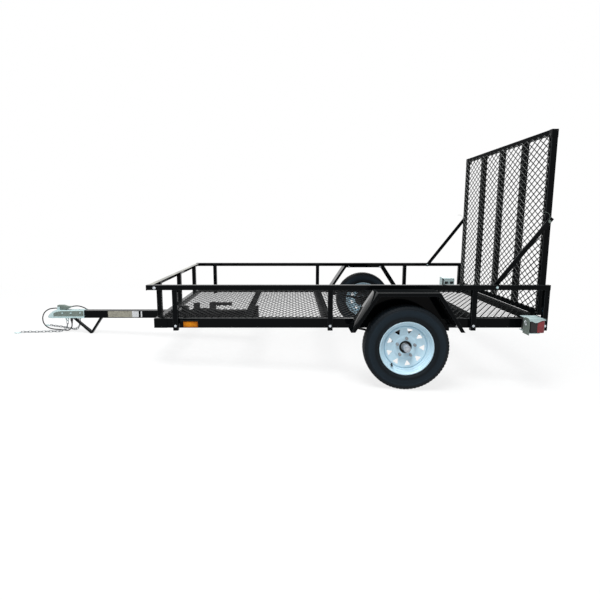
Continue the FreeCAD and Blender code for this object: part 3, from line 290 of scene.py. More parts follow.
class Sheet:
    """A node tree that is built one node at a time."""

    def __init__(self, tree):
        self.tree = tree

    def add(self, kind, settings=(), values=(), output=0):
        """A node of that kind, its settings first and then its sockets' values or wires."""
        made = self.tree.nodes.new(kind)
        for name, value in dict(settings).items():
            if name == "stops":
                ramp = made.color_ramp.elements
                while len(ramp) < len(value):
                    ramp.new(1.0)
                for stop, (position, shade) in zip(ramp, value):
                    stop.position, stop.color = position, shade
            else:
                setattr(made, name, value)
        for name, value in dict(values).items():
            if isinstance(value, Wire):
                self.tree.links.new(value.socket, made.inputs[name])
            else:
                made.inputs[name].default_value = value
        return Wire(self, made.outputs[output]) if len(made.outputs) else None

    def mix(self, factor, first, second):
        """Colour between first and second; 6, 7 and 2 are the node's colour sockets."""
        sockets = {0: factor, 6: first, 7: second}
        return self.add("ShaderNodeMix", {"data_type": "RGBA"}, sockets, 2)

    def size(self, vector):
        return self.add("ShaderNodeVectorMath", {"operation": "LENGTH"}, {0: vector}, "Value")

    def seen(self):
        """1 for rays from the camera, also by way of a reflection or through clear pieces."""
        rays = self.tree.nodes.new("ShaderNodeLightPath").outputs
        share = Wire(self, rays["Is Camera Ray"])
        for other in ("Is Glossy Ray", "Is Transmission Ray"):
            share = self.add("ShaderNodeMath", {"operation": "MAXIMUM"},
                             {0: share, 1: Wire(self, rays[other])})
        return share


def colour(red, green, blue):
    return (red, green, blue, 1.0)


class Finish(Sheet):
    """A material with one Principled shader; constants are set on the shader's own sockets."""

    def __init__(self, name, **constants):
        self.material = bpy.data.materials.new(name)
        super().__init__(emptied(self.material))
        self.shader = self.tree.nodes.new("ShaderNodeBsdfPrincipled")
        result = self.tree.nodes.new("ShaderNodeOutputMaterial")
        self.tree.links.new(self.shader.outputs[0], result.inputs["Surface"])
        for socket, value in constants.items():
            self.shader.inputs[socket.replace("_", " ")].default_value = value
        self.place = self.add("ShaderNodeTexCoord", output="Object")

    def feed(self, **wires):
        """Links the wires to the shader's sockets, and gives the finished material."""
        for socket, wire in wires.items():
            self.tree.links.new(wire.socket, self.shader.inputs[socket.replace("_", " ")])
        return self.material

    def noise(self, scale, detail, rough=0.55, stretch=None):
        vector = self.place
        if stretch:
            vector = self.add("ShaderNodeMapping", {}, {"Vector": vector, "Scale": stretch})
        sockets = {"Vector": vector, "Scale": scale, "Detail": detail, "Roughness": rough}
        return self.add("ShaderNodeTexNoise", {}, sockets)

    def cells(self, scale):
        sockets = {"Vector": self.place, "Scale": scale}
        return self.add("ShaderNodeTexVoronoi", {}, sockets, "Distance")

    def reach(self, middle, weights):
        """Distance from a point, with each axis stretched by its weight."""
        kind = "ShaderNodeVectorMath"
        arm = self.add(kind, {"operation": "SUBTRACT"}, {0: self.place, 1: middle})
        return self.size(self.add(kind, {"operation": "MULTIPLY"}, {0: arm, 1: weights}))

    def ramp(self, wire, *stops):
        """Value of the wire read along stops of (position, grey)."""
        shades = [(position, colour(grey, grey, grey)) for position, grey in stops]
        return self.add("ShaderNodeValToRGB", {"stops": shades}, {"Fac": wire})

    def bump(self, height, strength, distance):
        sockets = {"Height": height, "Strength": strength, "Distance": distance}
        return self.add("ShaderNodeBump", {}, sockets)


def paint(name, base, dust, rough=0.05, speck=160, skin=0.9, settled=0.16, flat=1.0):
    """Sprayed black enamel: a thin clear skin, small specks and a film on top faces, which is dust and, where its
    share is large and its colour pale, also painted light on the top faces.

    flat is the share of the skin's gloss that level top faces keep.
    """
    made = Finish(name, Specular_IOR_Level=0.0, Coat_Roughness=rough, Coat_IOR=1.15)
    cloud = made.noise(3.1, 4)
    normal = made.add("ShaderNodeNewGeometry", output="Normal")
    up = made.add("ShaderNodeSeparateXYZ", {}, {0: normal}, "Z")
    # film: dust on up-facing faces; with a large share and a pale second colour it paints light on the top faces.
    film = (up.clamped() * (cloud * 1.5 - 0.35)).clamped()
    speck_floor, level = 0.73, 0.95
    flecks = (made.noise(speck, 1, 0.4) > speck_floor) * 0.3
    gloss = (cloud * 0.3 + 0.85) * skin * (1 - (up > level) * (1 - flat))
    return made.feed(
        Base_Color=made.mix((film * settled + flecks * 0.06).clamped(), base, dust),
        Roughness=(0.5 + cloud * 0.2 + film * 0.2 + flecks * 0.1).clamped(0.05, 0.95),
        Coat_Weight=(gloss - flecks * 0.1).clamped(),
        Normal=made.bump(made.noise(420, 2) + made.noise(95, 2) * 0.6, 0.05, 0.0004),
    )


def galvanised(name, base, shade, rough, grain):
    """Zinc plate: a mottled cast with darker patches, and soft scratches."""
    made = Finish(name, Specular_IOR_Level=0.4)
    mottle = made.noise(grain, 5, 0.6)
    streak = made.noise(34, 3, 0.6, (1, 6, 6))
    return made.feed(
        Base_Color=made.mix(made.ramp(mottle, (0.3, 0), (0.75, 0.7)), base, shade),
        Metallic=0.25 + streak * 0.3,
        Roughness=(rough + mottle * 0.2 - streak * 0.1).clamped(0.12, 0.9),
        Normal=made.bump(mottle + streak * 0.5, 0.08, 0.0006),
    )


def enamel(name, base, shade, rough):
    """White wheel enamel with a faint cast and brake dust in random patches."""
    # Painted light: the enamel is white; the blue tint of its two colours stands in for bluish light on it.
    made = Finish(name, Coat_Weight=0.25, Coat_Roughness=0.15, Specular_IOR_Level=0.45)
    cloud = made.noise(14, 4)
    dirt = made.ramp(made.noise(46, 4, 0.65), (0.55, 0), (0.8, 0.25))
    return made.feed(
        Base_Color=made.mix((cloud * 0.35 + dirt).clamped(), base, shade),
        Roughness=(rough + cloud * 0.12 + dirt * 0.3).clamped(),
        Normal=made.bump(made.noise(180, 2), 0.06, 0.0005),
    )


def rubber(name, base, bloom_and_sheen):
    """Tyre rubber with a painted sheen in lighter bands round the sidewall, lighter dust in patches, and a fine grain.
    """
    made = Finish(name, Specular_IOR_Level=0.12)
    cloud = made.noise(9, 5, 0.6)
    dust = made.ramp(made.noise(70, 5, 0.7), (0.52, 0), (0.8, 0.5))
    reach = made.reach((WHEEL_MIDDLE.x, 0, WHEEL_MIDDLE.z), (1, 0, 1))
    # Painted sheen: lighter bands round the sidewall, set by the distance from the wheel's middle.
    ring = made.ramp(reach * 4, (0.66, 0.25), (0.77, 0.1), (0.81, 0.55), (0.92, 0.8),
                     (0.955, 0.3), (1.0, 0.15))
    return made.feed(
        Base_Color=made.mix((ring * (0.6 + cloud * 0.6) + dust * 0.5).clamped(), base, bloom_and_sheen),
        Roughness=(0.46 + cloud * 0.2 + dust * 0.15).clamped(),
        Normal=made.bump(made.noise(620, 2) + made.noise(140, 3) * 0.8, 0.12, 0.0005),
    )


def lens(name, base, painted_light, rough, ribs, skin, heart=None):
    """Moulded plastic lens: ribs under a clear skin, with painted light that brightens the ribs, patches and the
    middle of the lens.
    """
    made = Finish(name, Coat_Weight=skin, Coat_Roughness=0.05, Specular_IOR_Level=skin)
    wave = made.add(
        "ShaderNodeTexWave", {"wave_type": "BANDS", "bands_direction": "X"},
        {"Vector": made.place, "Scale": ribs, "Distortion": 0.0}, "Fac",
    )
    cells = made.cells(260.0)
    # Painted light: brighter patches, and a brighter middle where a centre is given, though the lamp is not lit.
    painted_glow = made.ramp(made.noise(36, 2, 0.4), (0.45, 0), (0.7, 1))
    if heart:
        painted_glow = ((0.9 - made.reach(heart, (24, 0, 46))) * 0.9 + painted_glow * 0.35).clamped()
    return made.feed(
        Base_Color=made.mix((wave * 0.3 + painted_glow * 0.75).clamped(), base, painted_light),
        Roughness=(rough + cells * 0.12).clamped(),
        Normal=made.bump(wave + cells * 0.5, 0.35, 0.0009),
    )


def moulded(name, base, shade, rough):
    """Black moulded plastic with a leathery grain."""
    made = Finish(name, Specular_IOR_Level=0.4)
    cloud = made.noise(22, 4)
    return made.feed(
        Base_Color=made.mix(cloud, base, shade),
        Roughness=(rough + cloud * 0.2).clamped(),
        Normal=made.bump(made.cells(700.0), 0.2, 0.0004),
    )


def sticker(name, base, mark):
    """Blank printed film: a speckled, slightly creased skin with nothing on it."""
    made = Finish(name, Specular_IOR_Level=0.35)
    blot = made.ramp(made.noise(85, 5, 0.7), (0.4, 0), (0.66, 1))
    return made.feed(
        Base_Color=made.mix(blot * 0.55, base, mark),
        Roughness=0.42 + blot * 0.2,
        Normal=made.bump(made.noise(60, 3), 0.1, 0.0006),
    )


# ---------------------------------------------------------------- sizes and colours
def shade(name, about, value):
    return FloatVectorProperty(
        name=name, description=about, default=value, size=4, subtype="COLOR", min=0, max=1
    )


def length(name, about, value):
    return FloatProperty(name=name, description=about, default=value, min=0, unit="LENGTH")


class TrailerFinishes(bpy.types.PropertyGroup):
    black: shade("Black enamel", "Frame, rails, gate and fenders", colour(0.0018, 0.0024, 0.003))
    # Painted highlight: eased edges and bends take this lighter colour, standing in for the light that they catch.
    edge: shade("Eased edges", "Bends and edges that catch the light", colour(0.034, 0.038, 0.04))
    dust: shade("Dust", "Film that settles on top faces", colour(0.11, 0.115, 0.11))
    zinc: shade("Zinc", "Coupler, brackets and bolts", colour(0.52, 0.67, 0.68))
    zinc_dark: shade("Zinc shade", "Mottling of the zinc", colour(0.36, 0.46, 0.46))
    rubber: shade("Rubber", "Tyres", colour(0.003, 0.0045, 0.006))
    # Bloom colour, also the colour of the painted sheen round the sidewalls.
    rubber_worn: shade("Worn rubber", "Bloom on the tyres", colour(0.014, 0.024, 0.034))
    # Painted light: the enamel is white; the blue tint of both wheel colours stands in for bluish light on it.
    wheel: shade("Wheel enamel", "Rims and discs", colour(0.6, 0.82, 0.94))
    wheel_dirt: shade("Wheel dirt", "Dust in the wheels", colour(0.44, 0.6, 0.7))
    # Painted light: each lens's second colour lights its ribs and middle, though the lamps are not lit.
    amber: shade("Amber", "Side marker lenses", colour(0.26, 0.055, 0.0))
    amber_glow: shade("Amber ribs", "Lit ribs of the side markers", colour(0.95, 0.34, 0.01))
    red: shade("Red", "Tail lamp lenses", colour(0.19, 0.008, 0.014))
    red_glow: shade("Red ribs", "Lit ribs of the tail lamps", colour(0.3, 0.03, 0.036))


class TrailerMesh(bpy.types.PropertyGroup):
    short_way: length("Short way", "Diamond pitch across the strands", 44.5 * MM)
    long_way: length("Long way", "Diamond pitch along the strands", 77 * MM)
    strand: length("Strand", "Width of a strand", 6.2 * MM)
    sheet: length("Sheet", "Thickness of a strand", 2.6 * MM)
    bond: length("Bond", "Length of the flat where strands meet", 11 * MM)
    slant: FloatProperty(
        name="Slant", description="Turn of each strand out of the sheet",
        default=math.radians(9), subtype="ANGLE",
    )


class TrailerWheels(bpy.types.PropertyGroup):
    pitch_blocks: IntProperty(
        name="Tread pitches", description="Tread blocks round the tyre", default=72, min=12
    )
    tread_depth: length("Tread depth", "Depth of the tread grooves", 5.5 * MM)
    nut_circle: length("Nut circle", "Radius of the wheel nuts' circle", 57 * MM)
    nuts: IntProperty(name="Nuts", description="Wheel nuts", default=5, min=3)


FINISHES = {}
TREES = {}


def look(name):
    """The finished material of that name, made once."""
    return FINISHES[name]


def make_finishes(settings):
    """Makes every finish: the way it is made, its name, its two colours and its other values."""
    # The middle of the first side marker, where the amber lens is painted brighter, as if lit.
    low, high = solids("side_markers")[0]
    heart = tuple(LEVEL @ ((low + high) / 2))
    black, dust = settings.black, settings.dust
    for make, name, base, second, others in (
        (paint, "black_paint", black, dust, dict()),
        (paint, "black_fender", black, dust, dict(settled=0.1, flat=0.32)),
        # Painted light: the front guard rail's top faces are painted a pale olive over the black, standing in for
        # light on them, with dust.
        (paint, "black_settled", black, colour(0.34, 0.335, 0.27),
         dict(rough=0.08, speck=90, settled=1.6)),
        (paint, "black_dull", black, dust, dict(rough=0.3, skin=0.25)),
        # Painted highlight on the eased edges of painted steel.
        (paint, "black_edge", settings.edge, dust, dict(rough=0.2, skin=0.7)),
        (paint, "black_mesh", black, dust, dict(rough=0.2, speck=240, skin=0.3)),
        # Painted highlight: the gate strands' up-facing faces are painted pale grey.
        (paint, "gate_strands", black, colour(0.3, 0.31, 0.3),
         dict(rough=0.2, speck=240, skin=0.3, settled=2.2)),
        (rubber, "tyre", settings.rubber, settings.rubber_worn, dict()),
        # Wheel colours with a painted blue cast.
        (enamel, "white_wheel", settings.wheel, settings.wheel_dirt, dict(rough=0.3)),
        (moulded, "black_hub", colour(0.006, 0.006, 0.007), colour(0.018, 0.018, 0.02),
         dict(rough=0.45)),
        (galvanised, "zinc", settings.zinc, settings.zinc_dark, dict(rough=0.36, grain=45)),
        # Darker zinc; on the coupler's side plates and the left lamp's front plate it is painted shade.
        (galvanised, "dull_zinc", colour(0.2, 0.245, 0.22), colour(0.12, 0.15, 0.13),
         dict(rough=0.5, grain=60)),
        (galvanised, "silver", colour(0.68, 0.71, 0.74), colour(0.42, 0.45, 0.48),
         dict(rough=0.22, grain=130)),
        (galvanised, "pewter", colour(0.56, 0.61, 0.66), colour(0.26, 0.29, 0.33),
         dict(rough=0.2, grain=130)),
        (galvanised, "nut", colour(0.36, 0.38, 0.4), colour(0.16, 0.17, 0.18),
         dict(rough=0.3, grain=160)),
        (lens, "amber_lens", settings.amber, settings.amber_glow,
         dict(rough=0.25, ribs=90, skin=0.08, heart=heart)),
        (lens, "red_lens", settings.red, settings.red_glow, dict(rough=0.18, ribs=70, skin=0.35)),
        (moulded, "cable", colour(0.003, 0.003, 0.0036), colour(0.008, 0.008, 0.009),
         dict(rough=0.5)),
        (galvanised, "chain", colour(0.26, 0.28, 0.29), colour(0.1, 0.11, 0.115),
         dict(rough=0.3, grain=160)),
        (sticker, "label", colour(0.36, 0.345, 0.28), colour(0.14, 0.135, 0.115), dict()),
        (sticker, "tag", colour(0.7, 0.71, 0.72), colour(0.46, 0.47, 0.48), dict()),
    ):
        FINISHES[name] = make(name, base, second, **others)


# ---------------------------------------------------------------- ways of making a piece
def to_mesh(bm, name):
    """The bmesh as a mesh of that name; the bmesh is freed."""
    mesh = bpy.data.meshes.new(name)
    bm.to_mesh(mesh)
    bm.free()
    return mesh


def to_bmesh(mesh):
    """The mesh as a bmesh; the mesh is removed."""
    bm = bmesh.new()
    bm.from_mesh(mesh)
    bpy.data.meshes.remove(mesh)
    return bm


def merge(bm, part):
    """Adds a part's bmesh to bm; the part is freed."""
    mesh = to_mesh(part, "part")
    bm.from_mesh(mesh)
    bpy.data.meshes.remove(mesh)


def linked(name, data):
    """A new object in the scene."""
    made = bpy.data.objects.new(name, data)
    bpy.context.scene.collection.objects.link(made)
    return made


def evaluated(made):
    """A plain mesh of the object as its modifiers leave it."""
    graph = bpy.context.evaluated_depsgraph_get()
    return bpy.data.meshes.new_from_object(made.evaluated_get(graph))


def mesh_piece(name, bm, finishes, body, slot=None, replaces=(), smooth=None, level=True):
    """A finished mesh on its body; smooth is the angle under which faces shade as one."""
    if level:
        bm.transform(LEVEL)
    mesh = to_mesh(bm, name)
    for finish in finishes:
        mesh.materials.append(look(finish))
    if smooth:
        mesh.shade_smooth()
        mesh.set_sharp_from_angle(angle=math.radians(smooth))
    return mount(linked(name, mesh), body, slot, replaces)


def mount(made, body, slot=None, replaces=()):
    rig.ride(made, body)
    if slot:
        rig.slot(made, slot)
    if replaces:
        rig.replaces(made, *replaces)
    return made


def sharp_edges(bm, angle=30):
    return [e for e in bm.edges if e.is_manifold and e.calc_face_angle(0) > math.radians(angle)]


def bevel(bm, edges, width, segments=2, material=-1):
    bmesh.ops.bevel(
        bm, geom=edges, offset=width, offset_type="OFFSET", segments=segments, profile=0.5,
        affect="EDGES", clamp_overlap=True, material=material,
    )


def dressed(node, body="chassis", slot="black_paint", width=1.2 * MM, segments=2, smooth=None,
            finish=None):
    """A CAD node with its edges eased, standing for it; on painted steel the eased edges take a lighter paint, a
    painted highlight.
    """
    bm = level_mesh(node, gap=2e-5)
    bmesh.ops.dissolve_limit(
        bm, angle_limit=math.radians(1.5), verts=bm.verts, edges=bm.edges, delimit={"NORMAL"}
    )
    painted = slot == "black_paint"
    # The bevel faces of painted steel take material 1, the lighter paint of the painted edge highlight.
    bevel(bm, sharp_edges(bm), width, segments, 1 if painted else -1)
    finishes = [finish or slot, "black_edge"] if painted else [finish or slot]
    return mesh_piece(f"{node}_finished", bm, finishes, body, slot, [node], smooth)


def block(bm, first, second, ease=0.0, segments=2, material=0):
    """Adds a block between two opposite corners, its edges eased.

    It is made apart, because bevelling in place leaves the faces in another order each run.
    """
    low, high = (Vector(pick(pair) for pair in zip(first, second)) for pick in (min, max))
    part = bmesh.new()
    for vert in bmesh.ops.create_cube(part, size=1)["verts"]:
        vert.co = low + Vector((vert.co[i] + 0.5) * (high[i] - low[i]) for i in range(3))
    for face in part.faces:
        face.material_index = material
    if ease:
        bevel(part, part.edges[:], ease, segments)
    merge(bm, part)


def neighbours(rings, closed=False):
    """Each ring with the next one; in a closed run the last goes with the first."""
    return list(zip(rings, rings[1:])) + ([(rings[-1], rings[0])] if closed else [])


def in_metres(profile, side=1):
    """A profile of (radius, along) in millimetres, turned to the left where side is -1."""
    return [(radius * MM, side * along * MM) for radius, along in profile]


def lathe(bm, profile, centre, steps=48, axis="Y", closed=False):
    """Turns (radius, distance along the axis) points round an axis through the centre."""
    quarter = math.radians(90)
    turn = {"X": Matrix.Rotation(quarter, 4, "Z"), "Y": Matrix.Identity(4),
            "Z": Matrix.Rotation(quarter, 4, "X")}[axis]
    place = Matrix.Translation(centre) @ turn
    rings, faces = [], []
    for radius, along in profile:
        angles = [2 * math.pi * i / steps for i in range(steps)] if radius else [0.0]
        rings.append([
            bm.verts.new(place @ Vector((radius * math.sin(a), along, radius * math.cos(a))))
            for a in angles
        ])
    for first, second in neighbours(rings, closed):
        for i in range(steps):
            ring = [first[i % len(first)], first[(i + 1) % len(first)],
                    second[(i + 1) % len(second)], second[i % len(second)]]
            faces.append(bm.faces.new(list(dict.fromkeys(ring))))
    bmesh.ops.recalc_face_normals(bm, faces=faces)


def drill(bm, radius, reach, centre, axis="Y"):
    """A round cutter that reaches both ways from its centre."""
    profile = [(0, -reach), (radius, -reach), (radius, reach), (0, reach)]
    lathe(bm, profile, centre, steps=20, axis=axis)


def tube(bm, points, radius, sides=8, closed=False):
    """A round bar through the points, its ends capped."""
    points = [Vector(point) for point in points]
    count = len(points)
    rings, faces, normal = [], [], None
    for i, point in enumerate(points):
        after = points[(i + 1) % count] if closed or i + 1 < count else point
        before = points[i - 1] if closed or i else point
        along = (after - before).normalized()
        if normal is None:
            normal = along.orthogonal().normalized()
        normal = (normal - along * normal.dot(along)).normalized()
        across = along.cross(normal)
        rings.append([
            bm.verts.new(point + radius * (normal * math.cos(2 * math.pi * k / sides)
                                           + across * math.sin(2 * math.pi * k / sides)))
            for k in range(sides)
        ])
    for first, second in neighbours(rings, closed):
        shift = 0
        if second is rings[0]:
            shift = min(range(sides), key=lambda s: (first[0].co - second[s].co).length)
        for k in range(sides):
            j = k + 1
            faces.append(bm.faces.new((first[k], first[j % sides], second[(j + shift) % sides],
                                       second[(k + shift) % sides])))
    if not closed:
        faces += [bm.faces.new(rings[0][::-1]), bm.faces.new(rings[-1])]
    bmesh.ops.recalc_face_normals(bm, faces=faces)


def prism(bm, outline, axis, first, last):
    """An outline of (u, v) points run along an axis: (x, z) along Y or (y, z) along X."""
    def at(u, v, w):
        return (w, u, v) if axis == "X" else (u, w, v)

    near, far = ([bm.verts.new(at(u, v, w)) for u, v in outline] for w in sorted((first, last)))
    faces = [bm.faces.new(near), bm.faces.new(far[::-1])]
    for i in range(len(outline)):
        j = (i + 1) % len(outline)
        faces.append(bm.faces.new((near[i], near[j], far[j], far[i])))
    bmesh.ops.recalc_face_normals(bm, faces=faces)


def arc(centre, radius, start, stop, steps, rise=None):
    """Points (u, v) of an arc; angles in degrees from +u towards +v.

    rise is its radius along v, where the arc isn't round.
    """
    turns = [math.radians(start + (stop - start) * i / steps) for i in range(steps + 1)]
    return [(centre[0] + radius * math.cos(turn), centre[1] + (rise or radius) * math.sin(turn))
            for turn in turns]


def carved(bm, cutters):
    """The mesh less each cutter's mesh."""
    for cutter in cutters:
        things = [linked("carving", to_mesh(source, "carving")) for source in (bm, cutter)]
        modifier = things[0].modifiers.new("Carve", "BOOLEAN")
        modifier.operation, modifier.solver, modifier.object = "DIFFERENCE", "EXACT", things[1]
        result = evaluated(things[0])
        for thing in things:
            mesh = thing.data
            bpy.data.objects.remove(thing)
            bpy.data.meshes.remove(mesh)
        bm = to_bmesh(result)
    return bm


def walled(line, wall):
    """Closed outline of a sheet of that thickness whose middle follows the line."""
    near, far = [], []
    for i, (u, v) in enumerate(line):
        before, after = line[max(i - 1, 0)], line[min(i + 1, len(line) - 1)]
        du, dv = after[0] - before[0], after[1] - before[1]
        size = math.hypot(du, dv)
        near.append((u - dv / size * wall / 2, v + du / size * wall / 2))
        far.append((u + dv / size * wall / 2, v - du / size * wall / 2))
    return near + far[::-1]


def grown(name, vectors, tree, sockets, edges=(), facings=()):
    """A mesh of points and edges run through a node tree, as a plain mesh in level axes.

    sockets gives the tree's named inputs; facings holds each point's outward vector.
    """
    seed = bpy.data.meshes.new(f"{name}_seed")
    seed.from_pydata(list(vectors), list(edges), [])
    if facings:
        stored = seed.attributes.new("outward", "FLOAT_VECTOR", "POINT")
        stored.data.foreach_set("vector", [part for vector in facings for part in vector])
    carrier = linked(f"{name}_seed", seed)
    modifier = carrier.modifiers.new("Grow", "NODES")
    modifier.node_group = tree
    for item in tree.interface.items_tree:
        if item.item_type == "SOCKET" and item.in_out == "INPUT" and item.name in sockets:
            modifier[item.identifier] = sockets[item.name]
    mesh = evaluated(carrier)
    bpy.data.objects.remove(carrier)
    bpy.data.meshes.remove(seed)
    return to_bmesh(mesh)


class Grower(Sheet):
    """A geometry node tree with named inputs, ending in Realize Instances and Set Material."""

    def __init__(self, name, **inputs):
        super().__init__(bpy.data.node_groups.new(name, "GeometryNodeTree"))
        self.tree.is_modifier = True
        face = self.tree.interface
        face.new_socket("Geometry", in_out="INPUT", socket_type="NodeSocketGeometry")
        for socket, (kind, value) in inputs.items():
            made = face.new_socket(socket, in_out="INPUT", socket_type=f"NodeSocket{kind}")
            if value is not None:
                made.default_value = value
        face.new_socket("Geometry", in_out="OUTPUT", socket_type="NodeSocketGeometry")
        self.source = self.tree.nodes.new("NodeGroupInput")

    def given(self, name):
        return Wire(self, self.source.outputs[name])

    def done(self, geometry):
        plain = self.add("GeometryNodeRealizeInstances", {}, {0: geometry})
        painted = self.add("GeometryNodeSetMaterial", {},
                           {"Geometry": plain, "Material": self.given("Material")})
        result = self.tree.nodes.new("NodeGroupOutput")
        self.tree.links.new(painted.socket, result.inputs[0])
        return self.tree


def bolt_tree():
    """Hex heads on washers, one on each point, facing its outward vector."""
    made = Grower("bolts", Across=("Float", 0.012), Height=("Float", 0.005),
                  Washer=("Float", 0.009), Sides=("Int", 6), Material=("Material", None))
    height, across, sides = made.given("Height"), made.given("Across"), made.given("Sides")
    corner = across * 0.577  # a corner is 1/sqrt(3) of the width from the middle
    head = made.add("GeometryNodeMeshCylinder", {},
                    {"Vertices": sides, "Radius": corner, "Depth": height}, "Mesh")
    crown = made.add("GeometryNodeMeshCone", {},
                     {"Vertices": sides, "Radius Top": across * 0.4, "Radius Bottom": corner,
                      "Depth": height * 0.25}, "Mesh")
    washer = made.add("GeometryNodeMeshCylinder", {},
                      {"Vertices": 20, "Radius": made.given("Washer"), "Depth": height * 0.24},
                      "Mesh")
    joined = made.tree.nodes.new("GeometryNodeJoinGeometry")
    for part, share in ((washer, 0.12), (head, 0.72), (crown, 1.1)):
        up = made.add("ShaderNodeCombineXYZ", {}, {"Z": height * share})
        raised = made.add("GeometryNodeTransform", {}, {"Geometry": part, "Translation": up})
        made.tree.links.new(raised.socket, joined.inputs[0])
    vector = made.add("GeometryNodeInputNamedAttribute", {"data_type": "FLOAT_VECTOR"},
                      {"Name": "outward"})
    facing = made.add("FunctionNodeAlignRotationToVector", {"axis": "Z"}, {"Vector": vector})
    placed = made.add("GeometryNodeInstanceOnPoints", {},
                      {"Points": made.given("Geometry"), "Instance": Wire(made, joined.outputs[0]),
                       "Rotation": facing})
    return made.done(placed)


def strand_tree():
    """Expanded metal: zigzag strands side by side, each slanted out of the sheet.

    Point i of the line that comes in is point i % Stations of strand i // Stations. Stations
    come in pairs, one at each end of a bond, so neighbours run together there.
    """
    made = Grower(
        "expanded_metal", Stations=("Int", 80), Short_way=("Float", 0.0445),
        Long_way=("Float", 0.077), Strand=("Float", 0.005), Sheet=("Float", 0.003),
        Bond=("Float", 0.011), Slant=("Float", 0.5), Half_width=("Float", 0.75),
        Start=("Float", 0.0), Material=("Material", None),
    )
    index = made.add("GeometryNodeInputIndex")
    stations, width, pitch = (made.given(name) for name in ("Stations", "Strand", "Short_way"))
    nudge = 1e-5
    strand = (index / stations + nudge).floor()
    station = index - strand * stations
    pair = (station / 2 + nudge).floor()
    late = station - pair * 2
    middle = (stations / 2 - 1) / 2
    along = (pair - middle) * made.given("Long_way") * 0.5 + (late - 0.5) * made.given("Bond")
    swing = pitch * 0.25 - width * 0.46
    sign = 1 - (pair + strand).modulo(2) * 2
    across = made.given("Start") + strand * pitch * 0.5 + sign * swing
    limit = made.given("Half_width")
    point = made.add("ShaderNodeCombineXYZ", {},
                     {"X": across, "Y": along.clamped(limit * -1, limit)})
    moved = made.add("GeometryNodeSetPosition", {},
                     {"Geometry": made.given("Geometry"), "Position": point})
    single = made.add("GeometryNodeMergeByDistance", {}, {"Geometry": moved, "Distance": 1e-5})
    curve = made.add("GeometryNodeMeshToCurve", {}, {"Mesh": single})
    upright = made.add("GeometryNodeSetCurveNormal", {"mode": "Z_UP"}, {"Curve": curve})
    tilted = made.add("GeometryNodeSetCurveTilt", {},
                      {"Curve": upright, "Tilt": made.given("Slant")})
    bar = made.add("GeometryNodeCurvePrimitiveQuadrilateral", {"mode": "RECTANGLE"},
                   {"Width": width, "Height": made.given("Sheet")})
    swept = made.add("GeometryNodeCurveToMesh", {},
                     {"Curve": tilted, "Profile Curve": bar, "Fill Caps": True})
    return made.done(swept)


def link_tree():
    """A chain: oval links along a line, every other one turned a quarter."""
    made = Grower("chain_links", Count=("Int", 12), Length=("Float", 0.036),
                  Width=("Float", 0.018), Wire=("Float", 0.005), First=("Float", 0.03),
                  Material=("Material", None))
    wire, first = made.given("Wire"), made.given("First")
    inner = made.given("Width") - wire
    oval = made.add("GeometryNodeCurvePrimitiveQuadrilateral", {"mode": "RECTANGLE"},
                    {"Width": made.given("Length") - wire, "Height": inner})
    rounded = made.add("GeometryNodeFilletCurve", {"mode": "POLY"},
                       {"Curve": oval, "Radius": inner * 0.499, "Count": 4})
    ring = made.add("GeometryNodeCurvePrimitiveCircle", {}, {"Resolution": 8, "Radius": wire * 0.5})
    link = made.add("GeometryNodeCurveToMesh", {}, {"Curve": rounded, "Profile Curve": ring})
    smooth = made.add("GeometryNodeSetShadeSmooth", {}, {0: link})
    whole = made.add("GeometryNodeMeshToCurve", {}, {"Mesh": made.given("Geometry")})
    line = made.add("GeometryNodeTrimCurve", {"mode": "FACTOR"},
                    {0: whole, "Start": first, "End": 1 - first})
    spaced = made.tree.nodes.new("GeometryNodeCurveToPoints")
    spaced.mode = "COUNT"
    made.tree.links.new(line.socket, spaced.inputs["Curve"])
    made.tree.links.new(made.given("Count").socket, spaced.inputs["Count"])
    index = made.add("GeometryNodeInputIndex")
    turn = made.add("ShaderNodeCombineXYZ", {},
                    {"X": index.modulo(2) * (math.pi / 2) + math.pi / 4})
    facing = made.add("FunctionNodeAlignRotationToVector", {"axis": "X"},
                      {"Vector": Wire(made, spaced.outputs["Tangent"])})
    rolled = made.add("FunctionNodeRotateRotation", {"rotation_space": "LOCAL"},
                      {"Rotation": facing, "Rotate By": turn})
    placed = made.add("GeometryNodeInstanceOnPoints", {},
                      {"Points": Wire(made, spaced.outputs["Points"]), "Instance": smooth,
                       "Rotation": rolled})
    return made.done(placed)


def bolts(name, heads, body, finish="silver", across=12 * MM, height=5 * MM, washer=9.5 * MM):
    """Hex heads on a body; each head is its seat's point and the way that it faces."""
    sockets = {"Across": across, "Height": height, "Washer": washer, "Sides": 6,
               "Material": look(finish)}
    seats, facings = zip(*heads)
    bm = grown(name, seats, TREES["bolts"], sockets, facings=facings)
    return mesh_piece(name, bm, [finish], body)


# ---------------------------------------------------------------- operators
class Build(bpy.types.Operator):
    """One piece or group of like pieces"""

    bl_options = {"REGISTER", "UNDO"}

    def execute(self, context):
        self.make(context.scene)
        return {"FINISHED"}


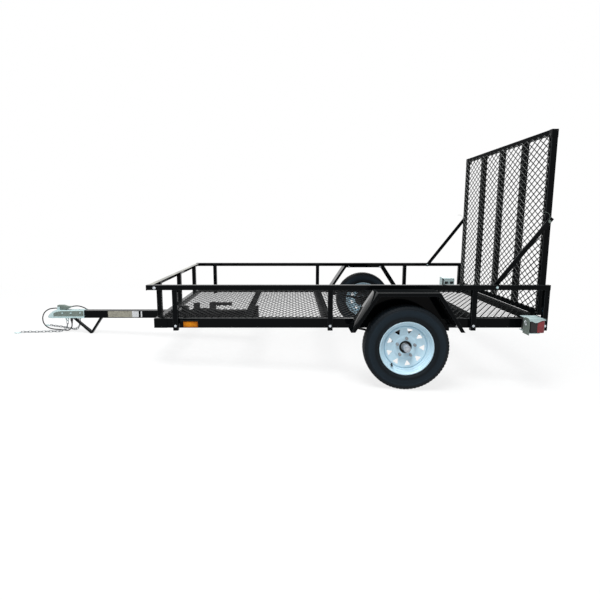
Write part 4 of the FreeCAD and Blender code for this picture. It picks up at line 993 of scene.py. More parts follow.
class TRAILER_OT_stage(Build):
    """Camera, lights, floor and the finishes that every piece takes"""

    bl_idname = "trailer.stage"
    bl_label = "Stage and finishes"

    def make(self, scene):
        make_finishes(scene.trailer_finishes)
        TREES.update(bolts=bolt_tree(), strands=strand_tree(), links=link_tree())
        scene.view_settings.view_transform = "Standard"
        self.camera(scene)
        self.lights()
        self.world(scene)
        self.floor()

    def camera(self, scene):
        """Stands level with the level trailer, so it leans as the parked one does."""
        data = bpy.data.cameras.new("Camera")
        data.lens = 29.16
        data.sensor_width = 36
        data.clip_end = 60
        data.shift_x = 0.0123
        eye = Matrix.Translation((-0.6955, -3.863, 0.768))
        pitch = Matrix.Rotation(math.radians(80.74), 4, "X")
        scene.camera = linked("Camera", data)
        scene.camera.matrix_world = LEVEL @ eye @ pitch

    def lights(self):
        for name, place, aim, size, power in (
            ("Top", (-0.6, -1.0, 6.5), (0.0, 0, 0.3), 4.5, 240),
            ("Key", (-0.6, -3.4, 6.2), (0.0, 0, 0.3), 3.5, 340),
            ("Far", (2.5, 6.0, 4.0), (0.2, 0, 0.4), 3.5, 110),
        ):
            data = bpy.data.lights.new(name, "AREA")
            data.shape, data.size, data.energy = "DISK", size, power
            turn = (Vector(aim) - Vector(place)).to_track_quat("-Z", "Y").to_matrix().to_4x4()
            linked(name, data).matrix_world = Matrix.Translation(place) @ turn

    def world(self, scene):
        """Even light on the trailer, and a white background behind it."""
        scene.world = bpy.data.worlds.new("Studio")
        sky = Sheet(emptied(scene.world))
        light = sky.add("ShaderNodeBackground", {},
                        {"Color": colour(0.9, 0.96, 1.0), "Strength": 0.36})
        white = sky.add("ShaderNodeBackground", {}, {"Color": colour(1, 1, 1), "Strength": 1.0})
        both = sky.add("ShaderNodeMixShader", {}, {0: sky.seen(), 1: light, 2: white})
        sky.add("ShaderNodeOutputWorld", {}, {"Surface": both})

    def floor(self):
        """Pale floor that keeps the trailer's shadow and fades to white away from it."""
        half, near, fade_rate, near_share = 30, 2.0, 0.55, 0.8
        bm = bmesh.new()
        bmesh.ops.create_grid(bm, x_segments=2, y_segments=2, size=half)
        mesh = to_mesh(bm, "Floor")
        mesh.materials.append(bpy.data.materials.new("floor"))
        made = Sheet(emptied(mesh.materials[0]))
        seen = made.seen()
        tone = made.mix(seen, colour(0.5, 0.5, 0.5), colour(0.9, 0.9, 0.9))
        matt = made.add("ShaderNodeBsdfDiffuse", {}, {"Color": tone})
        white = made.add("ShaderNodeEmission", {}, {"Color": colour(1, 1, 1), "Strength": 1.0})
        away = made.size(made.add("ShaderNodeTexCoord", output="Object"))
        fade = ((away - near) * fade_rate).clamped()
        share = seen * (near_share + fade * (1 - near_share))
        both = made.add("ShaderNodeMixShader", {}, {0: share, 1: matt, 2: white})
        made.add("ShaderNodeOutputMaterial", {}, {"Surface": both})
        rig.stage(linked("Floor", mesh))


# ---------------------------------------------------------------- routes of the cords
# Each point's runs aft and to the right of the anchor are in millimetres. Its height is a share
# of the anchor's height above where the cord lies.
LIFT = 0.5 * MM
CABLE_SIZE, CHAIN_SIZE = 9 * MM, 18 * MM
LINK_WIRE, LINK_HOLE = 5.2 * MM, 24 * MM
LEFT_CHAIN = (
    (0, 0, 1), (2, 0, 0.58), (-15, -4, 0.21), (-46, -13, 0.002), (-98.3, -24, 0),
    (-158.3, -46, 0), (-214.3, -72, 0), (-270.3, -84, 0), (-318.3, -102, 0),
)
RIGHT_CHAIN = (
    (0, 0, 1), (2.1, 0, 0.5795), (-14.2, 7, 0.2152), (-43.2, 21, 0.011), (-87.2, 48, 0),
    (-141.2, 66, 0), (-195.2, 94, 0), (-251.2, 102, 0), (-303.2, 124, 0),
)
CABLE_FROM_BOOT = (
    (0, 0, 1), (-34.8, 20.12, 0.988), (-70.8, 26, 1.074), (-105.8, 14, 1.224),
    (-146.8, -1, 1.293), (-188.8, -11, 1.243), (-233.8, -15, 1.162), (-283.8, -13, 1.131),
    (-329.8, -14, 1.118), (-373.8, -15, 1.056), (-409.8, -16, 0.868), (-424.8, -17, 0.593),
    (-416.8, -18, 0.312), (-386.8, -17, 0.106), (-347.8, -9, 0.0187),
)
CABLE_TO_PLUG = (
    (-124.4, 27, 0), (-79.4, 23, 0), (-36.2, 9, 0.0125), (-11.66, 2, 0.2285),
    (1.64, 0, 0.5859), (0, 0, 1),
)


def underside(low, high):
    """Middle of a box's underside, in the parked frame."""
    return LEVEL @ Vector(((low.x + high.x) / 2, (low.y + high.y) / 2, low.z))


def boot_mouth():
    """Where the wiring leaves its boot, in the parked frame."""
    low, high = spot("cable_boot")
    return LEVEL @ Vector((low.x + 13.5 * MM, 0.042, (low.z + high.z) / 2))


class TRAILER_OT_cords(Build):
    """Wiring cable with its plug and boot, and the two safety chains with their snap hooks"""

    bl_idname = "trailer.cords"
    bl_label = "Cable and safety chains"

    def make(self, scene):
        boot = boot_mouth()
        points = self.route(boot, CABLE_SIZE, CABLE_FROM_BOOT)
        points += self.route(underside(*spot("wiring_plug")), CABLE_SIZE, CABLE_TO_PLUG)
        _, run = self.traced("cable_line", points)
        lead = self.spline("wiring_cable_lead", points, CABLE_SIZE)
        lead.data.materials.append(look("cable"))
        mount(lead, "chassis", "cable", ["wiring_cable"])
        lugs = solids("chain_lugs")
        for name, lug, steps in (("left", lugs[0], LEFT_CHAIN), ("right", lugs[1], RIGHT_CHAIN)):
            self.chain(name, self.route(underside(*lug), CHAIN_SIZE, steps))
        plug = self.plug()
        dressed("cable_boot", slot="cable", width=3 * MM, segments=3, smooth=40)
        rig.cord(lead, exit=boot, length=run, diameter=CABLE_SIZE, far_end="plug",
                stiffness="medium", lay="loose", with_pieces=[plug])

    def route(self, anchor, size, steps):
        """Points along a cord of that size, from its steps away from the anchor."""
        lie = size / 2 + LIFT
        return [
            Vector((anchor.x + aft * MM, anchor.y + right * MM, lie + share * (anchor.z - lie)))
            for aft, right, share in steps
        ]

    def spline(self, name, points, thickness=0.0):
        curve = bpy.data.curves.new(name, "CURVE")
        curve.dimensions = "3D"
        line = curve.splines.new("NURBS")
        line.points.add(len(points) - 1)
        for control, point in zip(line.points, points):
            control.co = (*point, 1)
        line.order_u = 3
        line.use_endpoint_u = True
        line.resolution_u = 12
        curve.bevel_depth = thickness / 2
        curve.bevel_resolution = 3
        curve.use_fill_caps = True
        return linked(name, curve)

    def traced(self, name, points):
        """Points close together along the spline through those, and its length."""
        line = self.spline(name, points)
        mesh = bpy.data.meshes.new_from_object(line)
        trace = [vert.co.copy() for vert in mesh.vertices]
        bpy.data.meshes.remove(mesh)
        bpy.data.objects.remove(line)
        return trace, sum((b - a).length for a, b in zip(trace, trace[1:]))

    def chain(self, name, points):
        points, run = self.traced(f"{name}_chain_line", points)
        edges = [(i, i + 1) for i in range(len(points) - 1)]
        count = round(run / LINK_HOLE)
        bm = grown(f"{name}_chain", points, TREES["links"], {
            "Count": count, "Length": LINK_HOLE + 2 * LINK_WIRE, "Width": CHAIN_SIZE,
            "Wire": LINK_WIRE, "First": 0.5 / count, "Material": look("chain")}, edges=edges)
        made = mesh_piece(f"{name}_chain_links", bm, ["chain"], "chassis", "chain",
                          [f"{name}_safety_chain"], level=False)
        hook = self.hook(name, points[-1], points[-3])
        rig.cord(made, exit=points[0], length=run, diameter=CHAIN_SIZE, far_end="fitting",
                stiffness="limp", lay="loose", path=points, with_pieces=[hook])

    def hook(self, name, end, before):
        """Snap hook lying flat, in millimetres: a closed loop, its sprung gate and its pin."""
        bm = bmesh.new()
        bar = 3.4
        height = bar + 0.4
        loop = arc((36, 0), 10.5, -90, 90, 8) + arc((13, 0), 8.5, 90, 262, 8)
        gate, pin = ((14, -8.2), (36, -10.2)), ((3, -5), (3, 5))
        for line, radius in ((loop, bar), (gate, 2.4), (pin, 3.2)):
            tube(bm, [(u, v, height) for u, v in line], radius, closed=line is loop)
        turn = Matrix.Rotation(math.atan2(end.y - before.y, end.x - before.x), 4, "Z")
        bm.transform(Matrix.Translation((end.x, end.y, 0)) @ turn @ Matrix.Scale(MM, 4))
        return mesh_piece(f"{name}_chain_hook", bm, ["zinc"], "chassis", "chain",
                          ["chain_hooks"], smooth=40, level=False)

    def plug(self):
        """Plug body with four grip ribs, and the neck that the cable enters."""
        low, high = spot("wiring_plug")
        middle = (low + high) / 2
        proud = 0.7 * MM
        bm = bmesh.new()
        block(bm, (low.x, low.y, low.z + 12 * MM), high, ease=2 * MM)
        for rib in (14, 21, 28, 35):
            block(bm, (low.x - proud, low.y - proud, low.z + rib * MM),
                  (high.x + proud, high.y + proud, low.z + (rib + 3) * MM), ease=0.6 * MM)
        neck = in_metres([(0, 14), (7.2, 14), (6.8, 4), (5.2, -8), (0, -8)])
        lathe(bm, neck, (middle.x, middle.y, low.z), steps=20, axis="Z")
        return mesh_piece("wiring_plug_body", bm, ["black_hub"], "chassis", "cable",
                          ["wiring_plug"], smooth=40)


class TRAILER_OT_bed(Build):
    """Bed frame, tongue and saddles, with the plates on them and dark blocks over the tongue"""

    bl_idname = "trailer.bed"
    bl_label = "Bed frame and tongue"

    def make(self, scene):
        for node in ("left_side_rail", "right_side_rail", "front_frame_member",
                     "tongue_saddles", "tongue"):
            dressed(node)
        for node in ("rear_frame_member", "deck_cross_members"):
            dressed(node, finish="black_dull")
        self.corners()
        self.label()
        self.junction()

    def corners(self):
        """Plates over the front corners of the bed and feet on the front posts."""
        bm = bmesh.new()
        for name, side in SIDES:
            low, high = spot(f"{name}_side_rail")
            face = side * BED_HALF
            block(bm, (low.x - 2 * MM, face, low.z),
                  (low.x + 82 * MM, face + side * 4 * MM, high.z), ease=1 * MM)
        for low, high in solids("guard_posts")[:3]:
            block(bm, (low.x - 3 * MM, low.y - 9 * MM, low.z),
                  (high.x - 0.5 * MM, high.y + 9 * MM, low.z + 4 * MM), ease=1 * MM)
        mesh_piece("corner_plates", bm, ["black_paint"], "chassis", "black_paint")

    def junction(self):
        """Dark blocks over the tongue, under the front of the deck."""
        roof = spot("tongue")[1].z
        bm = bmesh.new()
        for start, stop, half, low, high in (
            (-1.491, -1.444, 18, -0.5, 58), (-1.362, -1.313, 24, -0.5, 64),
            (-1.32, -1.184, 11, 38, 62), (-1.455, -1.35, 7, 2, 16),
        ):
            block(bm, (start, -half * MM, roof + low * MM), (stop, half * MM, roof + high * MM),
                  ease=4 * MM)
        mesh_piece("tongue_dark_blocks", bm, ["cable"], "chassis", smooth=30)

    def label(self):
        """Blank film and two strips of white tag round the tongue's left face."""
        low, _ = spot("tongue")
        film, tag = 0, 1
        bm = bmesh.new()
        for start, stop, material in (
            (-2.177, -1.985, film), (-1.985, -1.931, tag), (-1.915, -1.904, tag),
        ):
            block(bm, (start, low.y - 0.5 * MM, low.z + 6 * MM),
                  (stop, low.y + 0.5 * MM, low.z + 56 * MM), ease=0.2 * MM, segments=1,
                  material=material)
        mesh_piece("tongue_labels", bm, ["label", "tag"], "chassis")


class TRAILER_OT_rails(Build):
    """Guard rails and their posts, bolted to the bed"""

    bl_idname = "trailer.rails"
    bl_label = "Guard rails and posts"

    def make(self, scene):
        for node in ("left_guard_rail", "right_guard_rail", "guard_posts"):
            dressed(node)
        # The front guard rail's top faces carry painted light, a pale olive film.
        dressed("front_guard_rail", finish="black_settled")
        front = -1.5
        heads = []
        for low, high in solids("guard_posts"):
            if high.x > front:
                side = math.copysign(1, low.y)
                face = max(abs(low.y), abs(high.y)) * side
                heads.append((((low.x + high.x) / 2, face, low.z + 30 * MM), (0, side, 0)))
        bolts("post_bolts", heads, "chassis", across=11 * MM, washer=8.5 * MM)
        low, high = spot("left_guard_rail")
        heads = [((low.x + 53 * MM, side * RAIL_FACE, high.z - 18 * MM), (0, side, 0))
                 for _, side in SIDES]
        bolts("rail_bolts", heads, "chassis")


class TRAILER_OT_mesh(Build):
    """Expanded metal of the deck and the gate"""

    bl_idname = "trailer.mesh"
    bl_label = "Expanded metal"

    def make(self, scene):
        sizes, depth = scene.trailer_mesh, 2.4 * MM
        low, high = spot("deck_mesh")
        place = Matrix.Translation((0, 0, low.z + depth))
        self.sheet(sizes, "deck_mesh", low.x, high.x, high.y, place, "chassis", 1, "black_mesh")
        low, high = spot("gate_mesh")
        upright = Matrix.Rotation(math.radians(-90), 4, "Y")
        place = Matrix.Translation((high.x - depth, 0, 0)) @ upright
        # The gate strands' up-facing faces carry a painted highlight.
        self.sheet(sizes, "gate_mesh", low.z, high.z, high.y, place, "gate", -1, "gate_strands")

    def sheet(self, sizes, node, start, stop, half, place, body, lean, finish):
        """Strands from start to stop, each as long as the sheet's full width."""
        pitch = sizes.short_way / 2
        strands = int((stop - start - pitch) / pitch) + 1
        first = (start + stop - (strands - 1) * pitch) / 2
        stations = 2 * (2 * math.ceil(half / (sizes.long_way / 2)) + 1)
        edges = [
            (k * stations + i, k * stations + i + 1)
            for k in range(strands) for i in range(stations - 1)
        ]
        bm = grown(node, [(0, 0, 0)] * (strands * stations), TREES["strands"], {
            "Stations": stations, "Short_way": sizes.short_way, "Long_way": sizes.long_way,
            "Strand": sizes.strand, "Sheet": sizes.sheet, "Bond": sizes.bond,
            "Slant": sizes.slant * lean, "Half_width": half, "Start": first,
            "Material": look(finish)}, edges=edges)
        bm.transform(place)
        mesh_piece(f"{node}_strands", bm, [finish], body, "black_mesh", [node])


class TRAILER_OT_wheels(Build):
    """Tyres, rims with their windows, hubs, caps, nuts and valves"""

    # Profiles are lists of (radius, outboard) in millimetres.
    bl_idname = "trailer.wheels"
    bl_label = "Wheels"

    def make(self, scene):
        sizes = scene.trailer_wheels
        for name, side in SIDES:
            low, high = spot(f"{name}_tyre")
            middle = Vector((0, (low.y + high.y) / 2, 0))
            self.tyre(name, middle, sizes, high.z)
            self.rim(name, side, middle)
            self.valve(name, side, middle)
            self.hub(name, side, middle)
            self.cap(name, side, middle)
            self.wheel_nuts(name, side, middle, sizes)

    def cut(self, step, radius, across):
        """Share of the tread's depth that is cut away at a point, by its step in the pitch."""
        inner_groove, outer_groove, rib, shoulder = (8.9, 13.1), (27.9, 32.1), (13.3, 27.7), 240
        crosscut, shallow = 0.45, 0.2
        if any(start < across < stop for start, stop in (inner_groove, outer_groove)):
            return 1
        if step in (2, 3) and across > outer_groove[1] and radius > shoulder:
            return crosscut if radius > shoulder + 7 else shallow
        if step == 2 and rib[0] < across < rib[1]:
            return crosscut
        return 0

    def tyre(self, name, middle, sizes, radius):
        """Carcass with ribs, shoulder blocks and raised rings on its sidewalls."""
        crown, half_tread, drop = radius / MM, 49, 3.2
        bead, tuck = 0.1605, 0.85
        steps = (0.0, 0.64, 0.69, 0.95)
        tread = [0, 8.5, 9, 13, 13.5, 27.5, 28, 32, 32.5, 41, half_tread]
        wall = [(251, 53.5), (246, 56.2), (244.5, 56.2), (238, 58.2), (236.5, 59.2), (228, 60.4),
                (226.5, 59.4), (212, 60.9), (198, 60.6), (188, 58.4), (186.5, 59.4), (182, 58.2),
                (180.5, 57), (173, 53.2), (168, 50), (163.5, 47.5), (161, 45.5)]
        half = [(crown - (y / half_tread) ** 2 * drop, y) for y in tread] + wall
        section = [(r, -y) for r, y in half[::-1]] + half[1:]
        bm = bmesh.new()
        rings = []
        for pitch in range(sizes.pitch_blocks):
            for step, share in enumerate(steps):
                turn = 2 * math.pi * (pitch + share) / sizes.pitch_blocks
                ring = []
                for r, y in section:
                    cut = sizes.tread_depth / MM * self.cut(step, r, abs(y))
                    reach = (r - cut) * MM
                    place = (reach * math.sin(turn), y * MM, reach * math.cos(turn))
                    ring.append(bm.verts.new(place))
                rings.append(ring)
        for ring, after in neighbours(rings, True):
            for k in range(len(section) - 1):
                bm.faces.new((ring[k], ring[k + 1], after[k + 1], after[k]))
        for k in (0, len(section) - 1):
            inner = []
            for ring in rings:
                x, y, z = ring[k].co
                flat = Vector((x, 0, z)).normalized() * bead
                inner.append(bm.verts.new((flat.x, y * tuck, flat.z)))
            for i, ring in enumerate(rings):
                j = (i + 1) % len(rings)
                bm.faces.new((ring[k], rings[j][k], inner[j], inner[i]))
        bmesh.ops.recalc_face_normals(bm, faces=bm.faces)
        bm.transform(Matrix.Translation(middle))
        mesh_piece(f"{name}_tyre_tread", bm, ["tyre"], f"{name}_wheel", "tyre",
                   [f"{name}_tyre"], smooth=24)

    def rim(self, name, side, middle):
        """Rolled barrel and a dished disc with nine rounded windows."""
        barrel = [(167.4, 45.5), (166.8, 48.2), (164.6, 49.8), (161.8, 49.6), (159.6, 47.6),
                  (158, 44), (156.8, 38.5), (155.4, 34.6), (151.4, 33.2), (149.8, 31),
                  (149, 25.5), (146, 21.8), (138, 19.4), (135.2, 14), (133.8, 6), (133.4, -14),
                  (137, -21), (149, -27), (151.4, -38), (154, -41), (159.4, -43.8),
                  (163, -47.6), (167.2, -48.6)]
        disc = [(131.6, -6), (131.2, 6.5), (129.6, 11), (126, 13.4), (121.5, 13), (117.5, 11),
                (100, 8.6), (84, 7.2), (77, 6.4), (72.5, 7.6), (70.2, 9.6), (67.6, 11.2),
                (64, 11.8), (50, 10.6), (44, 8.8), (39.4, 8)]
        window = (arc((-13.2, -112.2), 4.2, 180, 262, 3) + arc((0, -110.8), 5.4, 266, 274, 1)
                  + arc((13.2, -112.2), 4.2, 278, 360, 3) + arc((0, -91), 4.6, 22, 158, 5))
        windows, first, rim_wall, disc_wall = 9, math.radians(8), 2.8, 3.6
        bm, plate, cutter = bmesh.new(), bmesh.new(), bmesh.new()
        lathe(bm, in_metres(walled(barrel, rim_wall), side), middle, steps=96, closed=True)
        lathe(plate, in_metres(walled(disc, disc_wall), side), Vector(), steps=180, closed=True)
        for k in range(windows):
            shape = bmesh.new()
            prism(shape, in_metres(window), "Y", -side * 6 * MM, side * 34 * MM)
            shape.transform(Matrix.Rotation(2 * math.pi * k / windows - first, 4, "Y"))
            merge(cutter, shape)
        plate = carved(plate, [cutter])
        plate.transform(Matrix.Translation(middle))
        merge(bm, plate)
        mesh_piece(f"{name}_rim_finished", bm, ["white_wheel"], f"{name}_wheel", "white_wheel",
                   [f"{name}_wheel_rim"], smooth=34)

    def valve(self, name, side, middle):
        turn, reach = math.radians(232), 0.139
        stem = bmesh.new()
        foot = middle + Vector((reach * math.cos(turn), 0, reach * math.sin(turn)))
        lathe(stem, in_metres([
            (0, 14), (8, 14), (8, 20), (5.8, 23), (4.8, 31), (4.8, 34), (5.4, 34.4), (5.4, 43),
            (4.6, 45), (0, 45)], side), foot, steps=20)
        mesh_piece(f"{name}_valve", stem, ["black_hub"], f"{name}_wheel", "black_hub", smooth=40)

    def hub(self, name, side, middle):
        bm = bmesh.new()
        lathe(bm, in_metres([
            (16.5, -60), (30, -60), (31.5, -58.5), (32, -5), (70.5, -5), (72, -3.5), (72, 2),
            (70.5, 3.5), (38.8, 3.5), (38.6, 7), (37.8, 8.2), (36.4, 8.2), (35.8, 6.5),
            (35.4, -12), (30, -14), (0, -14)], side), middle, steps=64)
        mesh_piece(f"{name}_hub_finished", bm, ["black_hub"], f"{name}_wheel", "black_hub",
                   [f"{name}_wheel_hub"], smooth=30)

    def cap(self, name, side, middle):
        bm = bmesh.new()
        lathe(bm, in_metres([
            (0, -15), (24.6, -15), (25, 0), (23.4, 2.5), (22.2, 3.4), (22, 60), (21.4, 63.6),
            (20, 65.6), (18, 66), (16.4, 65.2), (15.4, 63), (14.4, 63.2), (13, 65.2),
            (8.5, 67.2), (0, 68)], side), middle)
        mesh_piece(f"{name}_hub_cap", bm, ["pewter"], f"{name}_wheel", "zinc", smooth=30)

    def wheel_nuts(self, name, side, middle, sizes):
        seat, first, heads = side * 12.4 * MM, math.radians(3), []
        for k in range(sizes.nuts):
            turn = 2 * math.pi * k / sizes.nuts + first
            spoke = Vector((sizes.nut_circle * math.sin(turn), seat,
                            sizes.nut_circle * math.cos(turn)))
            heads.append((middle + spoke, (0, side, 0)))
        bolts(f"{name}_wheel_nuts", heads, f"{name}_wheel", "nut", across=16 * MM,
              height=14 * MM)


class TRAILER_OT_running_gear(Build):
    """Axle, springs, hangers, clamps, fenders and their stays"""

    bl_idname = "trailer.running_gear"
    bl_label = "Axle, springs and fenders"

    def make(self, scene):
        for node in ("spring_hangers", "fender_stays"):
            dressed(node, width=1 * MM)
        dressed("axle", width=1 * MM, smooth=30)
        for node in ("leaf_springs", "spring_clamps"):
            dressed(node, width=0.5 * MM, segments=1, smooth=30)
        for name, _ in SIDES:
            dressed(f"{name}_fender", width=0.9 * MM, finish="black_fender")
        reach, face, height = 0.15, 0.835, 0.329
        heads = [((x, side * face, height), (0, -side, 0))
                 for _, side in SIDES for x in (-reach, reach)]
        bolts("fender_bolts", heads, "chassis", across=13 * MM)


class TRAILER_OT_coupler(Build):
    """Coupler with its socket, latch lever, chain lugs and parking foot"""

    bl_idname = "trailer.coupler"
    bl_label = "Coupler and foot"

    def make(self, scene):
        low, high = spot("coupler")
        top, half = spot("tongue")[1].z + 3.4 * MM, 33.4 * MM
        self.shell(low, high, top, half)
        self.plates(low, high, top, half)
        dressed("coupler_latch_lever", "coupler_latch", "zinc", width=2 * MM, smooth=30,
                finish="dull_zinc")
        dressed("parking_foot", width=2 * MM)
        self.lugs()

    def shell(self, low, high, top, half):
        """Pressed channel closing to a round nose, with the ball socket and the latch ears."""
        ball = levelled(MOUNTS["coupler_socket"])
        pin = levelled(JOINTS["coupler_latch_lift"])
        radius, lip_front, channel_front, inner_half = 34 * MM, -2.63, -2.5514, 30.4 * MM
        bm, rings = bmesh.new(), []
        # Height, inset all round, and how far the nose's middle is aft of the ball.
        for z, inset, back in (
            (low.z, 0.6, -13), (low.z + 1 * MM, 0, -14), (low.z + 9 * MM, 0, -15),
            (low.z + 20 * MM, 0, -9), (low.z + 34 * MM, 0.2, 4), (low.z + 45 * MM, 0.5, 16),
            (low.z + 52 * MM, 1, 27), (top - 4.6 * MM, 1.6, 42), (top - 1.6 * MM, 3, 50),
            (top - 0.3 * MM, 5.4, 54), (top, 8, 56),
        ):
            inset *= MM
            nose = arc((ball.x + back * MM, 0), radius - inset, -98, -258, 20)
            plan = [(high.x, -half + inset), *nose, (high.x, half - inset)]
            rings.append([bm.verts.new((x, y, z)) for x, y in plan])
        count = len(rings[0])
        for lower, upper in neighbours(rings):
            for i in range(count):
                j = (i + 1) % count
                bm.faces.new((lower[i], lower[j], upper[j], upper[i]))
        bm.faces.new(rings[0])
        bm.faces.new(rings[-1])
        bmesh.ops.recalc_face_normals(bm, faces=bm.faces)
        hole_places = (-2.555, -2.4968, -2.4176)
        channel, socket, holes = bmesh.new(), bmesh.new(), bmesh.new()
        block(channel, (channel_front, -inner_half, low.z - 5 * MM),
              (high.x + 5 * MM, inner_half, top - 3 * MM))
        cup = [(0, -20), (25.7, -20), (25.7, 30), (22.5, 38), (14.5, 43.5), (0, 44)]
        lathe(socket, in_metres(cup), (ball.x, 0, low.z), steps=40, axis="Z")
        for x in hole_places:
            drill(holes, 5.2 * MM, 10 * MM, (x, 0, top), "Z")
        bm = carved(bm, [channel, socket, holes])
        for _, side in SIDES:
            block(bm, (lip_front, side * half, low.z),
                  (high.x, side * (half + 4.5 * MM), low.z + 5 * MM), ease=1.5 * MM)
            y, reach, foot = side * 16 * MM, 11 * MM, top - 1 * MM
            ear = [(pin.x - reach, foot), (pin.x + reach, foot)]
            ear += arc((pin.x, pin.z), reach, 0, 180, 12, 10.5 * MM)
            prism(bm, ear, "Y", y, y + side * 6 * MM)
        pivot = [(0, -23.5), (6.5, -23.5), (6.5, -22), (5, -22), (5, 22), (6.5, 22), (6.5, 23.5),
                 (0, 23.5)]
        lathe(bm, in_metres(pivot), pin, steps=20)
        mesh_piece("coupler_shell", bm, ["zinc"], "chassis", "zinc", ["coupler"], smooth=30)

    def plates(self, low, high, top, half):
        """Plates over the shell's sides in a darker zinc that paints the shade on the sides, with the bolts through
        them.
        """
        back, bottom, face = high.x - 5 * MM, low.z + 15 * MM, half + 2 * MM
        outline = [(-2.613, bottom), (back, bottom), (back, top - 6 * MM), (-2.535, top - 7 * MM),
                   (-2.574, top - 10 * MM), (-2.59, top - 15 * MM), (-2.613, top - 22 * MM)]
        bm = bmesh.new()
        for _, side in SIDES:
            prism(bm, outline, "Y", side * (half - 0.5 * MM), side * face)
        bevel(bm, sharp_edges(bm), width=0.4 * MM, segments=1)
        mesh_piece("coupler_side_plates", bm, ["dull_zinc"], "chassis", "zinc")
        heads = [((x, side * face, low.z + z), (0, side, 0)) for _, side in SIDES
                 for x, z in ((-2.5415, 0.0395), (-2.4734, 0.0395), (-2.3985, 0.0415))]
        bolts("coupler_bolts", heads, "chassis", "zinc", across=11 * MM, height=4 * MM,
              washer=7 * MM)

    def lugs(self):
        """Rounded plates with a hole for each safety chain."""
        bm = bmesh.new()
        for low, high in solids("chain_lugs"):
            middle = (low + high) / 2
            half = (high.x - low.x) / 2
            bottom = low.z + half
            outline = arc((middle.x, bottom), half, 180, 360, 15)
            outline += [(high.x, high.z), (low.x, high.z)]
            plate, hole = bmesh.new(), bmesh.new()
            prism(plate, outline, "Y", low.y, high.y)
            drill(hole, 6.8 * MM, 20 * MM, (middle.x, middle.y, bottom))
            merge(bm, carved(plate, [hole]))
        bevel(bm, sharp_edges(bm, angle=50), width=0.9 * MM)
        mesh_piece("chain_lugs_finished", bm, ["zinc"], "chassis", "zinc", ["chain_lugs"],
                   smooth=30)


